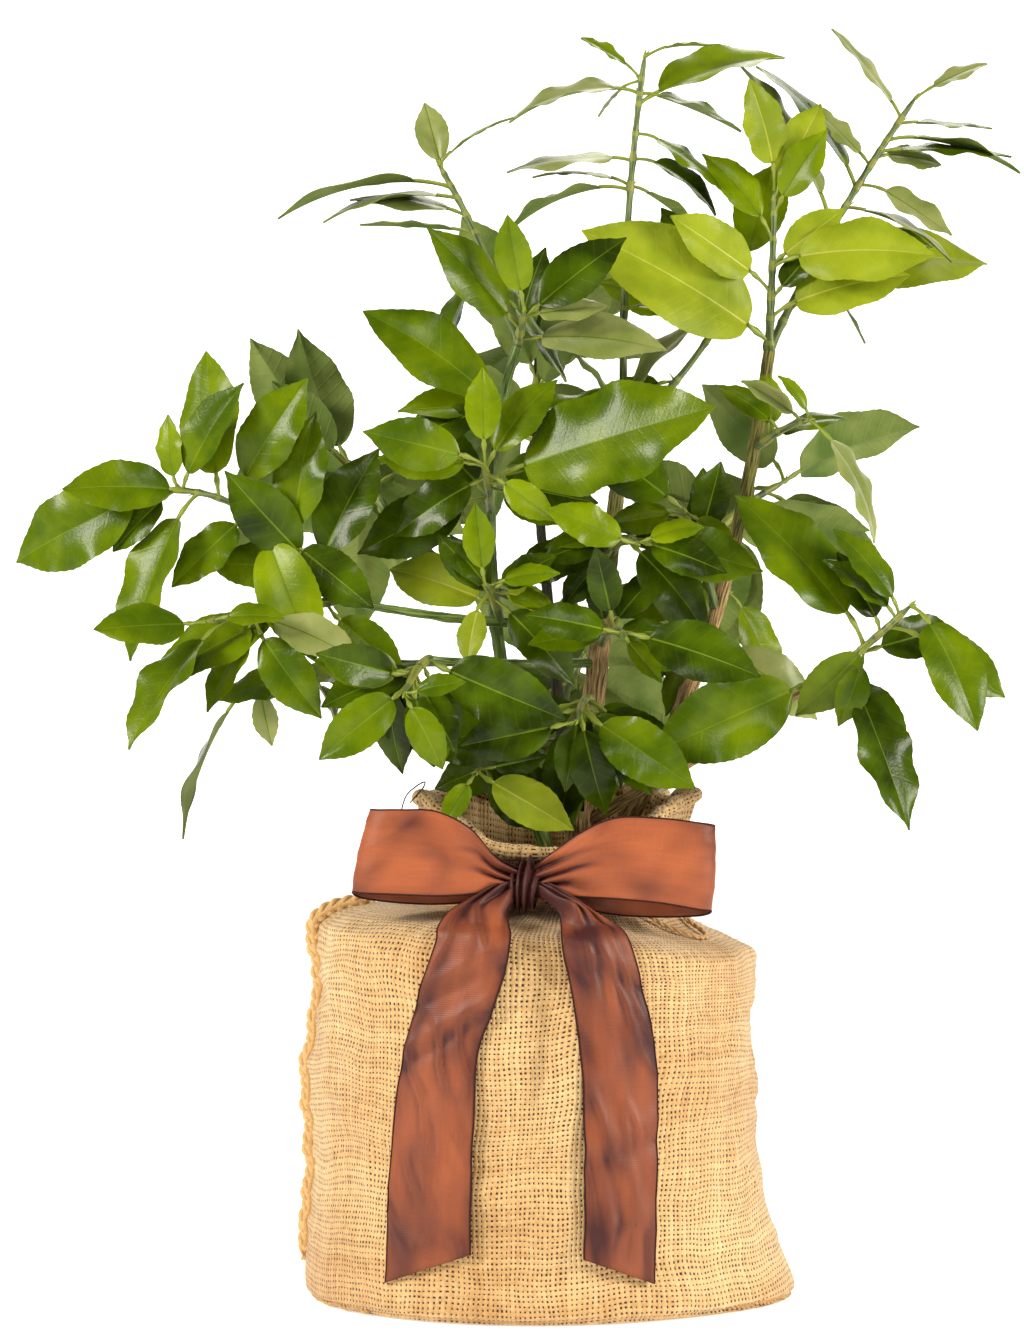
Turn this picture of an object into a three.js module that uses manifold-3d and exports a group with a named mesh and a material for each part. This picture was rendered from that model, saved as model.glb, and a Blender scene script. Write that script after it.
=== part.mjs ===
// A young persian lime tree in its nursery pot, dressed in a hessian sack that is gathered
// at the neck and tied with a wide taffeta bow.
// Sizes are in millimetres. X is to the right, Y to the back and Z up, and the origin is the
// middle of the sack's flat underside.
import * as THREE from "three";
import Module from "manifold-3d";

// Clearance between pieces that touch, and the smallest detail that a solid keeps.
const GAP = 0.3;
const SMALLEST_DETAIL = 0.2;

// Nursery pot and what fills it.
const POT_FOOT_RADIUS = 88;
const POT_MOUTH_RADIUS = 100;
const POT_TOP = 168;
const POT_WALL = 2.4;
const POT_LIP = 2.6;
const POT_LIP_HEIGHT = 9;
const POT_SIDES = 32;
const COMPOST_TOP = 152;

// Hessian sack.
const SACK_WALL = 2.2;
const SACK_RADIUS = 110;
const SACK_RIGHT_EXTRA = 2;
const FOOT_EAR_RIGHT = 20;
const FOOT_EAR_LEFT = 4;
const FOOT_EAR_HEIGHT = 120;
const SHOULDER_HEIGHT = 184;
const SHOULDER_TILT = 8;
const NECK_RADIUS = 62;
const NECK_HEIGHT = 207;
const NECK_SHIFT = 9;
const COLLAR_RADIUS = 69;
const COLLAR_HEIGHT = 250;
const COLLAR_FRONT_DIP = 27;
const SACK_SIDES = 30;
const LINING_LEVELS = [13, 12, 11, 10, 9, 8, 7, 6, 3, 0];
const SEAM_RADIUS = 3.2;
const SEAM_FOOT = 22;
const SEAM_SINK = 1.6;
const SEAM_FORWARD = -4;
const SEAM_SIDES = 6;

// Taffeta ribbon.
const RIBBON_WIDTH = 38;
const RIBBON_THICK = 1;
const BAND_WIDTH = 15;
const KNOT_HALF = [12, 9, 13];
const KNOT_MIDDLE = [-3, -NECK_RADIUS - 10.4, NECK_HEIGHT];
const KNOT_SIDES = 12;
const KNOT_LEVELS = [-62, -36, -12, 12, 36, 62];
const KNOT_TIP = 0.12;
const LOOP_REACH = 76;
const LOOP_ROOT = 9;
const LOOP_FORWARD = 5;
const LOOP_DEPTH = 11;
const LOOP_ROOT_DEPTH = 3;
const LOOP_PINCH = 13;
const LOOP_FILL = 0.4;
const LOOP_STEPS = 12;
const LOOP_RISE = { left: 17, right: 10 };

// Each tail hangs from the knot over the shoulder and down the front of the sack: how far its
// middle lies from the middle of the bow, at heights from the shoulder to the cut end.
const TAILS = {
  left: [[-22, 184], [-29, 174], [-35, 155], [-42, 131], [-45.5, 108], [-48, 60], [-49, 26]],
  right: [[24, 184], [31, 174], [37, 155], [41, 131], [42, 108], [42.5, 60], [42, 26]],
};
const TAIL_SLANT = 15;

// Jute drawstring: a loop of it lies on the right shoulder between two eyelets at the neck.
const TWINE_DIAMETER = 2.4;
const TWINE_SIDES = 8;
const TWINE_STEPS = 14;
const TWINE_ROUTE = [
  [56, -55, 192.8], [60, -56.2, 189.8], [64, -57, 187.4], [68, -57.4, 185.6], [72, -57.2, 184.2],
  [76, -56.4, 182.8], [79.6, -54.8, 181.6], [82.6, -52.2, 180.8], [84.8, -48.8, 180.6],
  [85.8, -44.8, 181], [85.4, -40.6, 182], [83.6, -37, 183.6], [80.8, -34, 185.4],
  [77.6, -31.6, 187.6], [74.6, -29.8, 190.8],
];

// Leaves: a blade's shape in shares of its own length.
const LEAF_HALF_WIDTH = 0.26;
const LEAF_STALK = 0.12;
const LEAF_THICKNESS = 0.022;
const LEAF_STEPS = 5;
const STALK_RADIUS = 0.9;
const TIP_RADIUS = 0.25;

// Growth.
const SEED = 11;
const TRIES = 10;
const LEAF_REACH = 7;
const OWN_LEAF_REACH = 4;
const WOOD_CLEARANCE = 3.5;
const NODE_SPACE = 12;
const TWIG_LENGTH = 7;
const TWIG_RADIUS = 1.3;
const TWIN_CHANCE = 0.2;
const TWIN_SIZE = 0.72;
const STEM_RADIUS = [2.0, 1.3];
const DRESS_MARGIN = 5;
const BOW_BACK = -66;
const BOW_TOP = 246;
const CROWN_MIDDLE = 35;
const CROWN_HALF_WIDTH = 200;

// Trunk, stems and boughs: each is one tapering limb on a curve through three places. A limb
// that forks from another starts at a share of that one's length.
const LIMBS = {
  trunk: { from: [16, 3, 140], by: [32, -9, 300], to: [47, -5, 430], radius: [8, 3.1] },
  stem_right: { on: ["trunk", 0.17], by: [84, 10, 312], to: [120, 10, 471], radius: [5.2, 3] },
  stem_left: { on: ["trunk", 0.13], by: [-18, -16, 345], to: [-6, -20, 472], radius: [3.8, 2.2] },
  stem_back: { on: ["trunk", 0.21], by: [12, 38, 320], to: [2, 50, 420], radius: [3.4, 2.2] },
  bough_left: { on: ["trunk", 0.62], by: [-25, -36, 335], to: [-93, -50, 345], radius: [2.7, 1.9] },
  bough_low: { on: ["trunk", 0.55], by: [-15, -42, 314], to: [-49, -65, 316], radius: [2.4, 1.8] },
  bough_right: { on: ["trunk", 0.28], by: [86, -27, 270], to: [140, -40, 305], radius: [3.2, 2] },
  bough_back_left: {
    on: ["stem_back", 0.62], by: [-35, 75, 360], to: [-75, 105, 395], radius: [2.3, 1.8],
  },
  bough_back_right: {
    on: ["stem_back", 0.5], by: [50, 75, 345], to: [95, 105, 380], radius: [2.3, 1.8],
  },
};
const LIMB_SIDES = 8;
const LIMB_STEPS = 7;
const STEM_SIDES = 5;
const STEM_STEPS = 5;
const ROOT_FLARE = 5;
const FLARE_HEIGHT = 16;

// Masses of foliage. Each grows on one stem, from its limb to a tip. A leaf is the hour that it
// points to on a clock seen from the front, and its length. face turns the blades to the front
// (up to 1), to the sky (0) or to the back (down to -1), back leans them away from the front,
// bare is the share of the stem below the first leaf, and a crowd under 1 draws the leaves
// together at the tip.
const MASSES = {
  crown_mid_right: {
    on: ["stem_right", 1], tip: [122, 0, 550], bow: [0, 0, 0], face: 0.7, back: -0.35, bare: 0.04,
    crowd: 1,
    leaves: [[10.3, 98], [2.2, 60], [10, 52], [2.6, 70], [10.9, 44], [1, 40], [11.9, 46]],
  },
  crown_inner: {
    on: ["trunk", 1], tip: [106, 14, 507], bow: [4, 0, -4], face: 0.5, back: -0.1, bare: 0.5, crowd: 1,
    leaves: [[3.6, 48], [1.2, 50], [9.6, 50], [11.2, 54], [10.2, 72], [12.4, 56]],
  },
  crown_top: {
    on: ["trunk", 1], tip: [57, -5, 616], bow: [-4, 0, 0], face: 0.25, back: 0, bare: 0.05, crowd: 0.58,
    leaves: [
      [1.2, 60], [4.6, 38], [9.6, 62], [3.9, 50], [8.6, 58], [3.8, 46], [9.4, 66], [2.1, 72],
      [10, 26], [2.8, 24],
    ],
  },
  crown_right: {
    on: ["stem_right", 1], tip: [195, 30, 600], bow: [-5, 0, -2], face: 0.3, back: 0.1, bare: 0.12,
    crowd: 0.8,
    leaves: [
      [1.2, 48], [2, 102], [2.6, 52], [11.3, 80], [3.6, 54], [3.9, 42], [1.6, 44], [3, 58], [10.8, 48],
      [2.1, 30],
    ],
  },
  left_spire: {
    on: ["stem_left", 1], tip: [-45, -12, 561], bow: [2, 0, 2], face: 0.25, back: 0, bare: 0.42,
    crowd: 0.9,
    leaves: [[8.8, 80], [9.2, 46], [1.4, 76], [8.9, 72], [1.8, 38]],
  },
  left_fork: {
    on: ["stem_left", 1], tip: [-3, -40, 486], bow: [0, 0, 0], face: 0.6, back: -0.2, bare: 0.1, crowd: 1,
    leaves: [[3, 64], [10.6, 62], [1.6, 54], [11.5, 38]],
  },
  left_high: {
    on: ["stem_left", 0.86], tip: [-14, -42, 440], bow: [0, 0, 0], face: 0.5, back: -0.1, bare: 0.3,
    crowd: 1,
    leaves: [[3, 60], [10.2, 72], [8.6, 54]],
  },
  left_mid: {
    on: ["stem_left", 0.66], tip: [-22, -62, 410], bow: [0, 0, 0], face: 0.75, back: -0.3, bare: 0.3,
    crowd: 1,
    leaves: [[8.4, 60], [10.3, 90], [2.4, 104], [4.2, 32], [9.6, 50]],
  },
  left_upper: {
    on: ["bough_left", 1], tip: [-181, -45, 398], bow: [0, 0, 16], face: 0.75, back: -0.15, bare: 0.12,
    crowd: 1,
    leaves: [
      [1, 60], [12, 58], [4.2, 46], [4.6, 74], [0.9, 58], [0.7, 80], [7, 74], [11.6, 32], [8.4, 76],
    ],
  },
  left_lower: {
    on: ["bough_left", 1], tip: [-157, -72, 334], bow: [0, 0, 0], face: 0.6, back: -0.2, bare: 0.1,
    crowd: 1,
    leaves: [[4.2, 42], [8.2, 66], [2.6, 48], [4.6, 50], [7.5, 66], [8.7, 56]],
  },
  left_hang: {
    on: ["bough_low", 0.55], tip: [-140, -12, 303], bow: [0, 0, 4], face: 0.3, back: 0, bare: 0.4,
    crowd: 1,
    leaves: [[8.4, 60], [7, 44], [6, 34], [8.8, 54], [7, 70]],
  },
  low_front_left: {
    on: ["bough_low", 1], tip: [-60, -98, 300], bow: [0, 0, 3], face: 0.8, back: -0.2, bare: 0.1,
    crowd: 1,
    leaves: [[3.6, 62], [8.2, 50], [8.8, 50], [7.4, 48], [5, 34]],
  },
  inner_light: {
    on: ["bough_left", 0.42], tip: [-22, -58, 352], bow: [0, 0, 4], face: 0.7, back: -0.2, bare: 0.25,
    crowd: 1,
    leaves: [[9.7, 58], [4.6, 48], [7, 32], [2.5, 28], [11.8, 32]],
  },
  front_centre: {
    on: ["trunk", 0.58], tip: [46, -80, 326], bow: [0, 0, 6], face: 0.7, back: -0.2, bare: 0.3, crowd: 1,
    leaves: [[8.8, 34], [11.5, 34], [3.3, 58], [8, 54]],
  },
  front_low: {
    on: ["trunk", 0.48], tip: [22, -72, 286], bow: [0, 0, 6], face: 0.8, back: -0.2, bare: 0.3, crowd: 1,
    leaves: [[6.6, 64], [8.5, 72], [4.2, 56], [9, 60]],
  },
  collar_front: {
    on: ["trunk", 0.42], tip: [-26, -52, 262], bow: [0, 0, 4], face: 0.8, back: -0.1, bare: 0.4, crowd: 1,
    leaves: [[8.4, 50], [7.2, 34], [3.8, 54]],
  },
  centre_mid: {
    on: ["trunk", 0.74], tip: [52, -62, 372], bow: [0, 0, 6], face: 0.6, back: -0.2, bare: 0.3, crowd: 1,
    leaves: [[8.6, 48], [4.4, 56], [3.2, 54], [9.4, 56]],
  },
  right_mid: {
    on: ["stem_right", 0.86], tip: [138, -25, 434], bow: [0, 0, 2], face: 0.5, back: -0.1, bare: 0.2,
    crowd: 1,
    leaves: [[10.2, 36], [2.4, 40], [3.2, 38], [4.8, 58]],
  },
  right_inner: {
    on: ["stem_right", 0.6], tip: [76, -40, 388], bow: [0, 0, 4], face: 0.7, back: -0.1, bare: 0.3,
    crowd: 1,
    leaves: [[4.4, 56], [8.9, 52], [6, 44], [10.2, 54]],
  },
  right_lowmid: {
    on: ["stem_right", 0.45], tip: [100, 30, 350], bow: [0, 0, 6], face: 0.5, back: 0.1, bare: 0.35,
    crowd: 1,
    leaves: [[3.8, 58], [2.6, 46], [9.2, 54], [4.9, 48]],
  },
  right_low: {
    on: ["bough_right", 1], tip: [184, -62, 342], bow: [0, 0, -2], face: 0.7, back: -0.1, bare: 0.08,
    crowd: 0.9,
    leaves: [
      [8.1, 80], [5.3, 70], [2.5, 44], [10.6, 80], [6.1, 62], [3.9, 52], [10.9, 44], [4.8, 62],
    ],
  },
  back_left: {
    on: ["bough_back_left", 1], tip: [-110, 130, 430], bow: [0, 0, 3], face: -0.6, back: 0.4, bare: 0.08,
    crowd: 1,
    leaves: [[9, 70], [2, 66], [6, 72], [11, 70], [8, 76], [4, 66], [10, 74], [1, 66]],
  },
  back_right: {
    on: ["bough_back_right", 1], tip: [135, 130, 410], bow: [0, 0, 3], face: -0.6, back: 0.4, bare: 0.08,
    crowd: 1,
    leaves: [[3, 70], [10, 66], [6, 72], [1, 70], [4, 76], [8, 66], [2, 74], [11, 66]],
  },
  back_centre: {
    on: ["stem_back", 1], tip: [5, 95, 490], bow: [0, 0, 3], face: -0.5, back: 0.3, bare: 0.1, crowd: 1,
    leaves: [[9, 66], [3, 70], [7, 66], [1, 70], [5, 66], [11, 70], [8, 60], [2, 66]],
  },
  back_low: {
    on: ["stem_back", 0.35], tip: [30, 110, 320], bow: [0, 0, 4], face: -0.7, back: 0.4, bare: 0.4,
    crowd: 1,
    leaves: [[8, 66], [4, 70], [6, 60], [10, 66], [2, 70]],
  },
};

// Colour, roughness and metalness of each material.
const LOOKS = {
  hessian: ["#c9a66b", 0.95, 0],
  plastic: ["#26282a", 0.55, 0],
  compost: ["#2e2118", 1, 0],
  taffeta: ["#8a4a30", 0.5, 0.05],
  jute: ["#b98f55", 0.95, 0],
  bark: ["#7c6440", 0.85, 0],
  green_bark: ["#4f6a2c", 0.7, 0],
  leaf: ["#2f5a1c", 0.45, 0],
  young_leaf: ["#7d9a2a", 0.45, 0],
};
const YOUNG_MASSES = ["crown_mid_right", "crown_inner", "inner_light"];
const GREEN_LIMBS = ["stem_left", "bough_left", "bough_low"];

const { Manifold, Mesh: Skin } = await loadSolids();

async function loadSolids() {
  const made = await Module();
  made.setup();
  return made;
}

// Plain vector sums on [x, y, z].
function add(a, b, share = 1) {
  return a.map((v, i) => v + share * b[i]);
}

function mix(...terms) {
  return [0, 1, 2].map((i) => terms.reduce((sum, [share, v]) => sum + share * v[i], 0));
}

function dot(a, b) {
  return a[0] * b[0] + a[1] * b[1] + a[2] * b[2];
}

function cross(a, b) {
  return [a[1] * b[2] - a[2] * b[1], a[2] * b[0] - a[0] * b[2], a[0] * b[1] - a[1] * b[0]];
}

function unit(a) {
  const size = Math.hypot(...a);
  return a.map((v) => v / size);
}

function distance(a, b) {
  return Math.hypot(a[0] - b[0], a[1] - b[1], a[2] - b[2]);
}

function radians(degrees) {
  return (degrees * Math.PI) / 180;
}

// A repeatable run of numbers from 0 to 1.
function lotOf(seed) {
  let state = seed;
  return () => {
    state = (state + 0x6d2b79f5) | 0;
    let t = Math.imul(state ^ (state >>> 15), state | 1);
    t ^= t + Math.imul(t ^ (t >>> 7), t | 61);
    return ((t ^ (t >>> 14)) >>> 0) / 4294967296;
  };
}

function sway(lot) {
  return 2 * lot() - 1;
}

// A closed solid skinned over rings of points, each ring running anticlockwise about the way
// from one ring to the next, with flat ends.
function loft(rings) {
  const sides = rings[0].length;
  const points = rings.flat();
  const faces = [];
  for (let ring = 0; ring + 1 < rings.length; ring++) {
    for (let side = 0; side < sides; side++) {
      const here = ring * sides + side;
      const next = ring * sides + ((side + 1) % sides);
      faces.push(here, next, next + sides, here, next + sides, here + sides);
    }
  }
  const last = (rings.length - 1) * sides;
  for (let side = 1; side + 1 < sides; side++) {
    faces.push(0, side + 1, side, last, last + side, last + side + 1);
  }
  return new Manifold(
    new Skin({
      numProp: 3,
      vertProperties: new Float32Array(points.flat()),
      triVerts: new Uint32Array(faces),
    }),
  );
}

// A ring about the Z axis whose radius and height may change on the way round.
function levelRing(sides, radiusAt, heightAt) {
  return Array.from({ length: sides }, (_, side) => {
    const turn = (2 * Math.PI * side) / sides;
    const radius = radiusAt(turn);
    return [radius * Math.cos(turn), radius * Math.sin(turn), heightAt(turn)];
  });
}

// A curve through three places, with the way that it runs and a fixed side to measure from.
function curveOf(from, by, to) {
  const pull = from.map((v, i) => 2 * by[i] - (v + to[i]) / 2);
  const chord = unit(add(to, from, -1));
  return {
    length: distance(from, to),
    side: unit(cross(chord, Math.abs(chord[2]) < 0.9 ? [0, 0, 1] : [0, 1, 0])),
    at: (t) => mix([(1 - t) ** 2, from], [2 * t * (1 - t), pull], [t * t, to]),
    way: (t) => unit(mix([1 - t, add(pull, from, -1)], [t, add(to, pull, -1)])),
  };
}

// A round bar along a curve, thicker and longer by a margin where it cuts a clearance.
function barAlong(curve, radiusAt, sides, steps, margin = 0) {
  const spare = margin / curve.length;
  const rings = Array.from({ length: steps + 1 }, (_, step) => {
    const t = (step / steps) * (1 + 2 * spare) - spare;
    const middle = curve.at(t);
    const way = curve.way(t);
    const side = unit(add(curve.side, way, -dot(curve.side, way)));
    const over = cross(way, side);
    return Array.from({ length: sides }, (_, corner) => {
      const turn = (2 * Math.PI * corner) / sides;
      const radius = radiusAt(t) + margin;
      return mix([1, middle], [radius * Math.cos(turn), side], [radius * Math.sin(turn), over]);
    });
  });
  return loft(rings);
}

// The body of a cut solid that matters: its largest.
function largest(solid) {
  return solid.decompose().sort((a, b) => b.volume() - a.volume())[0];
}

function growLimbs() {
  const limbs = {};
  for (const [name, limb] of Object.entries(LIMBS)) {
    const from = limb.from ?? limbs[limb.on[0]].curve.at(limb.on[1]);
    limbs[name] = { curve: curveOf(from, limb.by, limb.to), radius: limb.radius };
  }
  return limbs;
}

function limbRadius(limb, t) {
  const height = limb.curve.at(t)[2] - COMPOST_TOP;
  const flare = ROOT_FLARE * Math.exp(-Math.max(0, height) / FLARE_HEIGHT);
  return limb.radius[0] + (limb.radius[1] - limb.radius[0]) * t + flare;
}

function limbBar(limb, margin) {
  return barAlong(limb.curve, (t) => limbRadius(limb, t), LIMB_SIDES, LIMB_STEPS, margin);
}

// Each limb stands clear of the limbs before it, and the trunk is cut flat on the compost.
function limbSolids(limbs) {
  const solids = {};
  const before = [];
  for (const [name, limb] of Object.entries(limbs)) {
    const cut = before.reduce((solid, other) => solid.subtract(other), limbBar(limb, 0));
    solids[name] = largest(cut.trimByPlane([0, 0, 1], COMPOST_TOP + GAP));
    before.push(limbBar(limb, GAP));
  }
  return solids;
}

function stemOf(mass, limbs) {
  const from = limbs[mass.on[0]].curve.at(mass.on[1]);
  const by = add(mix([0.5, from], [0.5, mass.tip]), mass.bow);
  return curveOf(from, by, mass.tip);
}

function stemRadius(t) {
  return STEM_RADIUS[0] + (STEM_RADIUS[1] - STEM_RADIUS[0]) * t;
}

// Places along a curve, a few millimetres apart, each with the reach that others keep from it.
function reachAlong(curve, radiusAt) {
  const count = Math.ceil(curve.length / 4);
  return Array.from({ length: count + 1 }, (_, i) => ({
    at: curve.at(i / count),
    reach: radiusAt(i / count) + WOOD_CLEARANCE,
  }));
}

function halfWidth(share) {
  return share >= 1 ? 0 : LEAF_HALF_WIDTH * Math.sin(Math.PI * share ** 0.85) ** 0.75;
}

// One leaf: its spine, both edges of its blade and the way its face looks, station by station.
function leafFrom(root, hour, length, mass, loose, lot) {
  const turn = radians(90 - 30 * (hour + loose * sway(lot)));
  const back = mass.back + (0.2 + 0.3 * loose) * sway(lot);
  const roll = radians(20 * sway(lot));
  const droop = radians(24 + 18 * sway(lot));
  const fold = radians(16 + 8 * sway(lot));
  const way = unit([Math.cos(turn), back, Math.sin(turn)]);
  const outward = (root[0] - CROWN_MIDDLE) / CROWN_HALF_WIDTH;
  const light = [0.35 * outward, -mass.face, 1 - Math.abs(mass.face)];
  const flat = unit(add(light, way, -dot(light, way)));
  const face = mix([Math.cos(roll), flat], [Math.sin(roll), cross(way, flat)]);
  const across = cross(way, face);
  const foot = add(root, way, LEAF_STALK * length);
  const leaf = { length, across, spine: [foot], edges: [[foot, foot]], faces: [face] };
  for (let step = 1; step <= LEAF_STEPS; step++) {
    const bend = (droop * (step - 0.5)) / LEAF_STEPS;
    const run = mix([Math.cos(bend), way], [-Math.sin(bend), face]);
    const middle = add(leaf.spine.at(-1), run, length / LEAF_STEPS);
    const tilt = (droop * step) / LEAF_STEPS;
    const up = mix([Math.cos(tilt), face], [Math.sin(tilt), way]);
    const half = length * halfWidth(step / LEAF_STEPS);
    const rise = half * Math.sin(fold);
    const spread = half * Math.cos(fold);
    leaf.spine.push(middle);
    leaf.faces.push(up);
    leaf.edges.push([-1, 1].map((side) => mix([1, middle], [side * spread, across], [rise, up])));
  }
  return leaf;
}

// Places on a leaf's blade that stand for it when it is set clear of the rest.
function leafPlaces(leaf) {
  const places = [];
  for (let step = 1; step <= LEAF_STEPS; step++) {
    const middle = leaf.spine[step];
    places.push(middle);
    if (step === LEAF_STEPS) break;
    for (const edge of leaf.edges[step]) places.push(edge, mix([0.5, middle], [0.5, edge]));
  }
  return places;
}

// The sack, its collar and the bow keep this space free of leaves.
function inDress([x, y, z]) {
  const fromNeck = Math.hypot(x - NECK_SHIFT, y);
  const collarTop = collarHeight(Math.atan2(y, x - NECK_SHIFT));
  const inSack = z < NECK_HEIGHT && Math.hypot(x, y) < SACK_RADIUS + FOOT_EAR_RIGHT;
  const inCollar = z < collarTop + DRESS_MARGIN && fromNeck < COLLAR_RADIUS + DRESS_MARGIN;
  const inBow = z < BOW_TOP && y < BOW_BACK && Math.abs(x) < SACK_RADIUS;
  return inSack || inCollar || inBow;
}

function isClear(places, others, blocks) {
  return places.every(
    (place) =>
      !inDress(place) &&
      others.every((other) => distance(place, other.at) > other.reach) &&
      blocks.every((block) => distance(place, block.at) > block.reach),
  );
}

// The growth of one mass: at each node a short twig carries a leaf, and now and then a twin
// beside it. A leaf that finds no clear place in a few tries is left off.
function growMass(mass, stem, lot, wood, taken) {
  const grown = [];
  const own = [];
  const last = mass.leaves.length - 1;
  mass.leaves.forEach(([hour, length], index) => {
    const t = mass.bare + (1 - mass.bare) * (index / last) ** mass.crowd;
    const node = stem.at(t);
    const twig = TWIG_LENGTH * (0.5 + lot());
    const twin = lot() < TWIN_CHANCE;
    const twinHour = hour + (lot() < 0.5 ? -1 : 1) * (1.8 + lot());
    const far = wood.filter((block) => distance(block.at, node) > NODE_SPACE);
    const wanted = [[hour, length]];
    if (twin) wanted.push([twinHour, TWIN_SIZE * length]);
    for (const [aim, size] of wanted) {
      for (let attempt = 0; attempt < TRIES; attempt++) {
        const loose = 0.2 + 0.15 * attempt;
        const turn = radians(90 - 30 * aim);
        const out = unit(mix([1, [Math.cos(turn), mass.back, Math.sin(turn)]], [0.5, stem.way(t)]));
        const root = add(node, out, twig);
        const leaf = leafFrom(root, aim, size * (1 - 0.03 * attempt), mass, loose, lot);
        const places = leafPlaces(leaf);
        const others = [...taken, ...own];
        if (!isClear(places, others, far)) continue;
        grown.push({ ...leaf, node });
        own.push(...places.slice(1).map((at) => ({ at, reach: OWN_LEAF_REACH })));
        break;
      }
    }
  });
  return grown;
}

function growPlant() {
  const limbs = growLimbs();
  const stems = {};
  const wood = Object.values(limbs).flatMap((limb) => reachAlong(limb.curve, (t) => limbRadius(limb, t)));
  for (const [name, mass] of Object.entries(MASSES)) {
    stems[name] = stemOf(mass, limbs);
    wood.push(...reachAlong(stems[name], stemRadius));
  }
  const leaves = {};
  const taken = [];
  Object.entries(MASSES).forEach(([name, mass], index) => {
    leaves[name] = growMass(mass, stems[name], lotOf(SEED * 1000 + index), wood, taken);
    for (const leaf of leaves[name]) {
      taken.push(...leafPlaces(leaf).map((at) => ({ at, reach: LEAF_REACH })));
    }
  });
  return { limbs, stems, leaves };
}

// A leaf with its twig and stalk as one solid. The blade is a lens in section, folded up along
// the midrib.
function leafSolid(leaf) {
  const half = (LEAF_THICKNESS * leaf.length) / 2;
  const side = leaf.across;
  const corners = (up) => [[1, up], [1, side], [-1, up], [-1, side]];
  const diamond = (middle, up, radius) => corners(up).map(([sign, way]) => add(middle, way, sign * radius));
  const rings = [
    diamond(leaf.node, leaf.faces[0], TWIG_RADIUS),
    diamond(leaf.spine[0], leaf.faces[0], STALK_RADIUS),
  ];
  for (let step = 1; step < LEAF_STEPS; step++) {
    const [left, right] = leaf.edges[step];
    const middle = leaf.spine[step];
    const up = leaf.faces[step];
    rings.push([add(middle, up, half), right, add(middle, up, -half), left]);
  }
  rings.push(diamond(leaf.spine[LEAF_STEPS], leaf.faces[LEAF_STEPS], TIP_RADIUS));
  return loft(rings);
}

function stemBar(stem, margin) {
  return barAlong(stem, stemRadius, STEM_SIDES, STEM_STEPS, margin);
}

// Each mass is fused to its stem, and cut clear of the limbs and of the stems before it.
function massSolids({ limbs, stems, leaves }) {
  const before = Object.values(limbs).map((limb) => limbBar(limb, GAP));
  const solids = {};
  for (const [name, stem] of Object.entries(stems)) {
    const fused = Manifold.union([stemBar(stem, 0), ...leaves[name].map(leafSolid)]);
    const cut = before.reduce((solid, other) => solid.subtract(other), fused);
    solids[name] = largest(cut.simplify(SMALLEST_DETAIL));
    before.push(stemBar(stem, GAP));
  }
  return solids;
}

function potSolid() {
  const foot = SACK_WALL + GAP;
  const lip = POT_TOP - POT_LIP_HEIGHT;
  const outline = [
    [POT_FOOT_RADIUS, foot],
    [POT_MOUTH_RADIUS, lip],
    [POT_MOUTH_RADIUS + POT_LIP, lip],
    [POT_MOUTH_RADIUS + POT_LIP, POT_TOP],
    [POT_MOUTH_RADIUS - POT_WALL, POT_TOP],
    [POT_FOOT_RADIUS - POT_WALL, foot + POT_WALL],
  ];
  return loft(outline.map(([radius, height]) => levelRing(POT_SIDES, () => radius, () => height)));
}

// Inner radius of the pot's wall at a height.
function potInside(height) {
  const foot = SACK_WALL + GAP + POT_WALL;
  const share = (height - foot) / (POT_TOP - foot);
  return POT_FOOT_RADIUS - POT_WALL + share * (POT_MOUTH_RADIUS - POT_FOOT_RADIUS);
}

function compostSolid() {
  const heights = [SACK_WALL + POT_WALL + 2 * GAP, COMPOST_TOP];
  return loft(heights.map((height) => levelRing(POT_SIDES, () => potInside(height) - 2 * GAP, () => height)));
}

// How far a corner of the sack's foot spreads, by the turn from it.
function ear(turn, width) {
  return Math.exp(-((Math.atan2(Math.sin(turn), Math.cos(turn)) / width) ** 2));
}

function shoulderHeight(turn) {
  return SHOULDER_HEIGHT - SHOULDER_TILT * Math.cos(turn);
}

function collarHeight(turn) {
  return COLLAR_HEIGHT - COLLAR_FRONT_DIP * ear(turn + Math.PI / 2, 0.9);
}

function sackSide(turn, height) {
  const spread = Math.max(0, 1 - height / FOOT_EAR_HEIGHT) ** 2;
  const right = FOOT_EAR_RIGHT * ear(turn, 0.6);
  const left = FOOT_EAR_LEFT * ear(turn + Math.PI, 0.6);
  return SACK_RADIUS + SACK_RIGHT_EXTRA * Math.cos(turn) + spread * (right + left);
}

// The sack's outline at one turn about its middle, as radius and height from foot to collar.
function sackOutline(turn) {
  const shoulder = shoulderHeight(turn);
  const foot = sackSide(turn, 0);
  const side = sackSide(turn, FOOT_EAR_HEIGHT);
  const neck = NECK_HEIGHT - BAND_WIDTH / 2;
  return [
    [foot - 8, 0],
    [foot - 2.5, 2],
    [foot, 9],
    [sackSide(turn, 45), 45],
    [sackSide(turn, 85), 85],
    [side + 1, 140],
    [side, shoulder - 14],
    [side - 3.5, shoulder - 4],
    [side - 12, shoulder + 1],
    [side - 30, shoulder + (neck - shoulder) * 0.4],
    [NECK_RADIUS + 6, neck - 5],
    [NECK_RADIUS, neck],
    [NECK_RADIUS, neck + BAND_WIDTH],
    [COLLAR_RADIUS, collarHeight(turn)],
  ];
}

// How far the gathered top of the sack lies to the right of its middle at a height.
function neckShift(height) {
  const share = (height - SHOULDER_HEIGHT) / (NECK_HEIGHT - BAND_WIDTH / 2 - SHOULDER_HEIGHT);
  return NECK_SHIFT * Math.min(1, Math.max(0, share));
}

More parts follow.
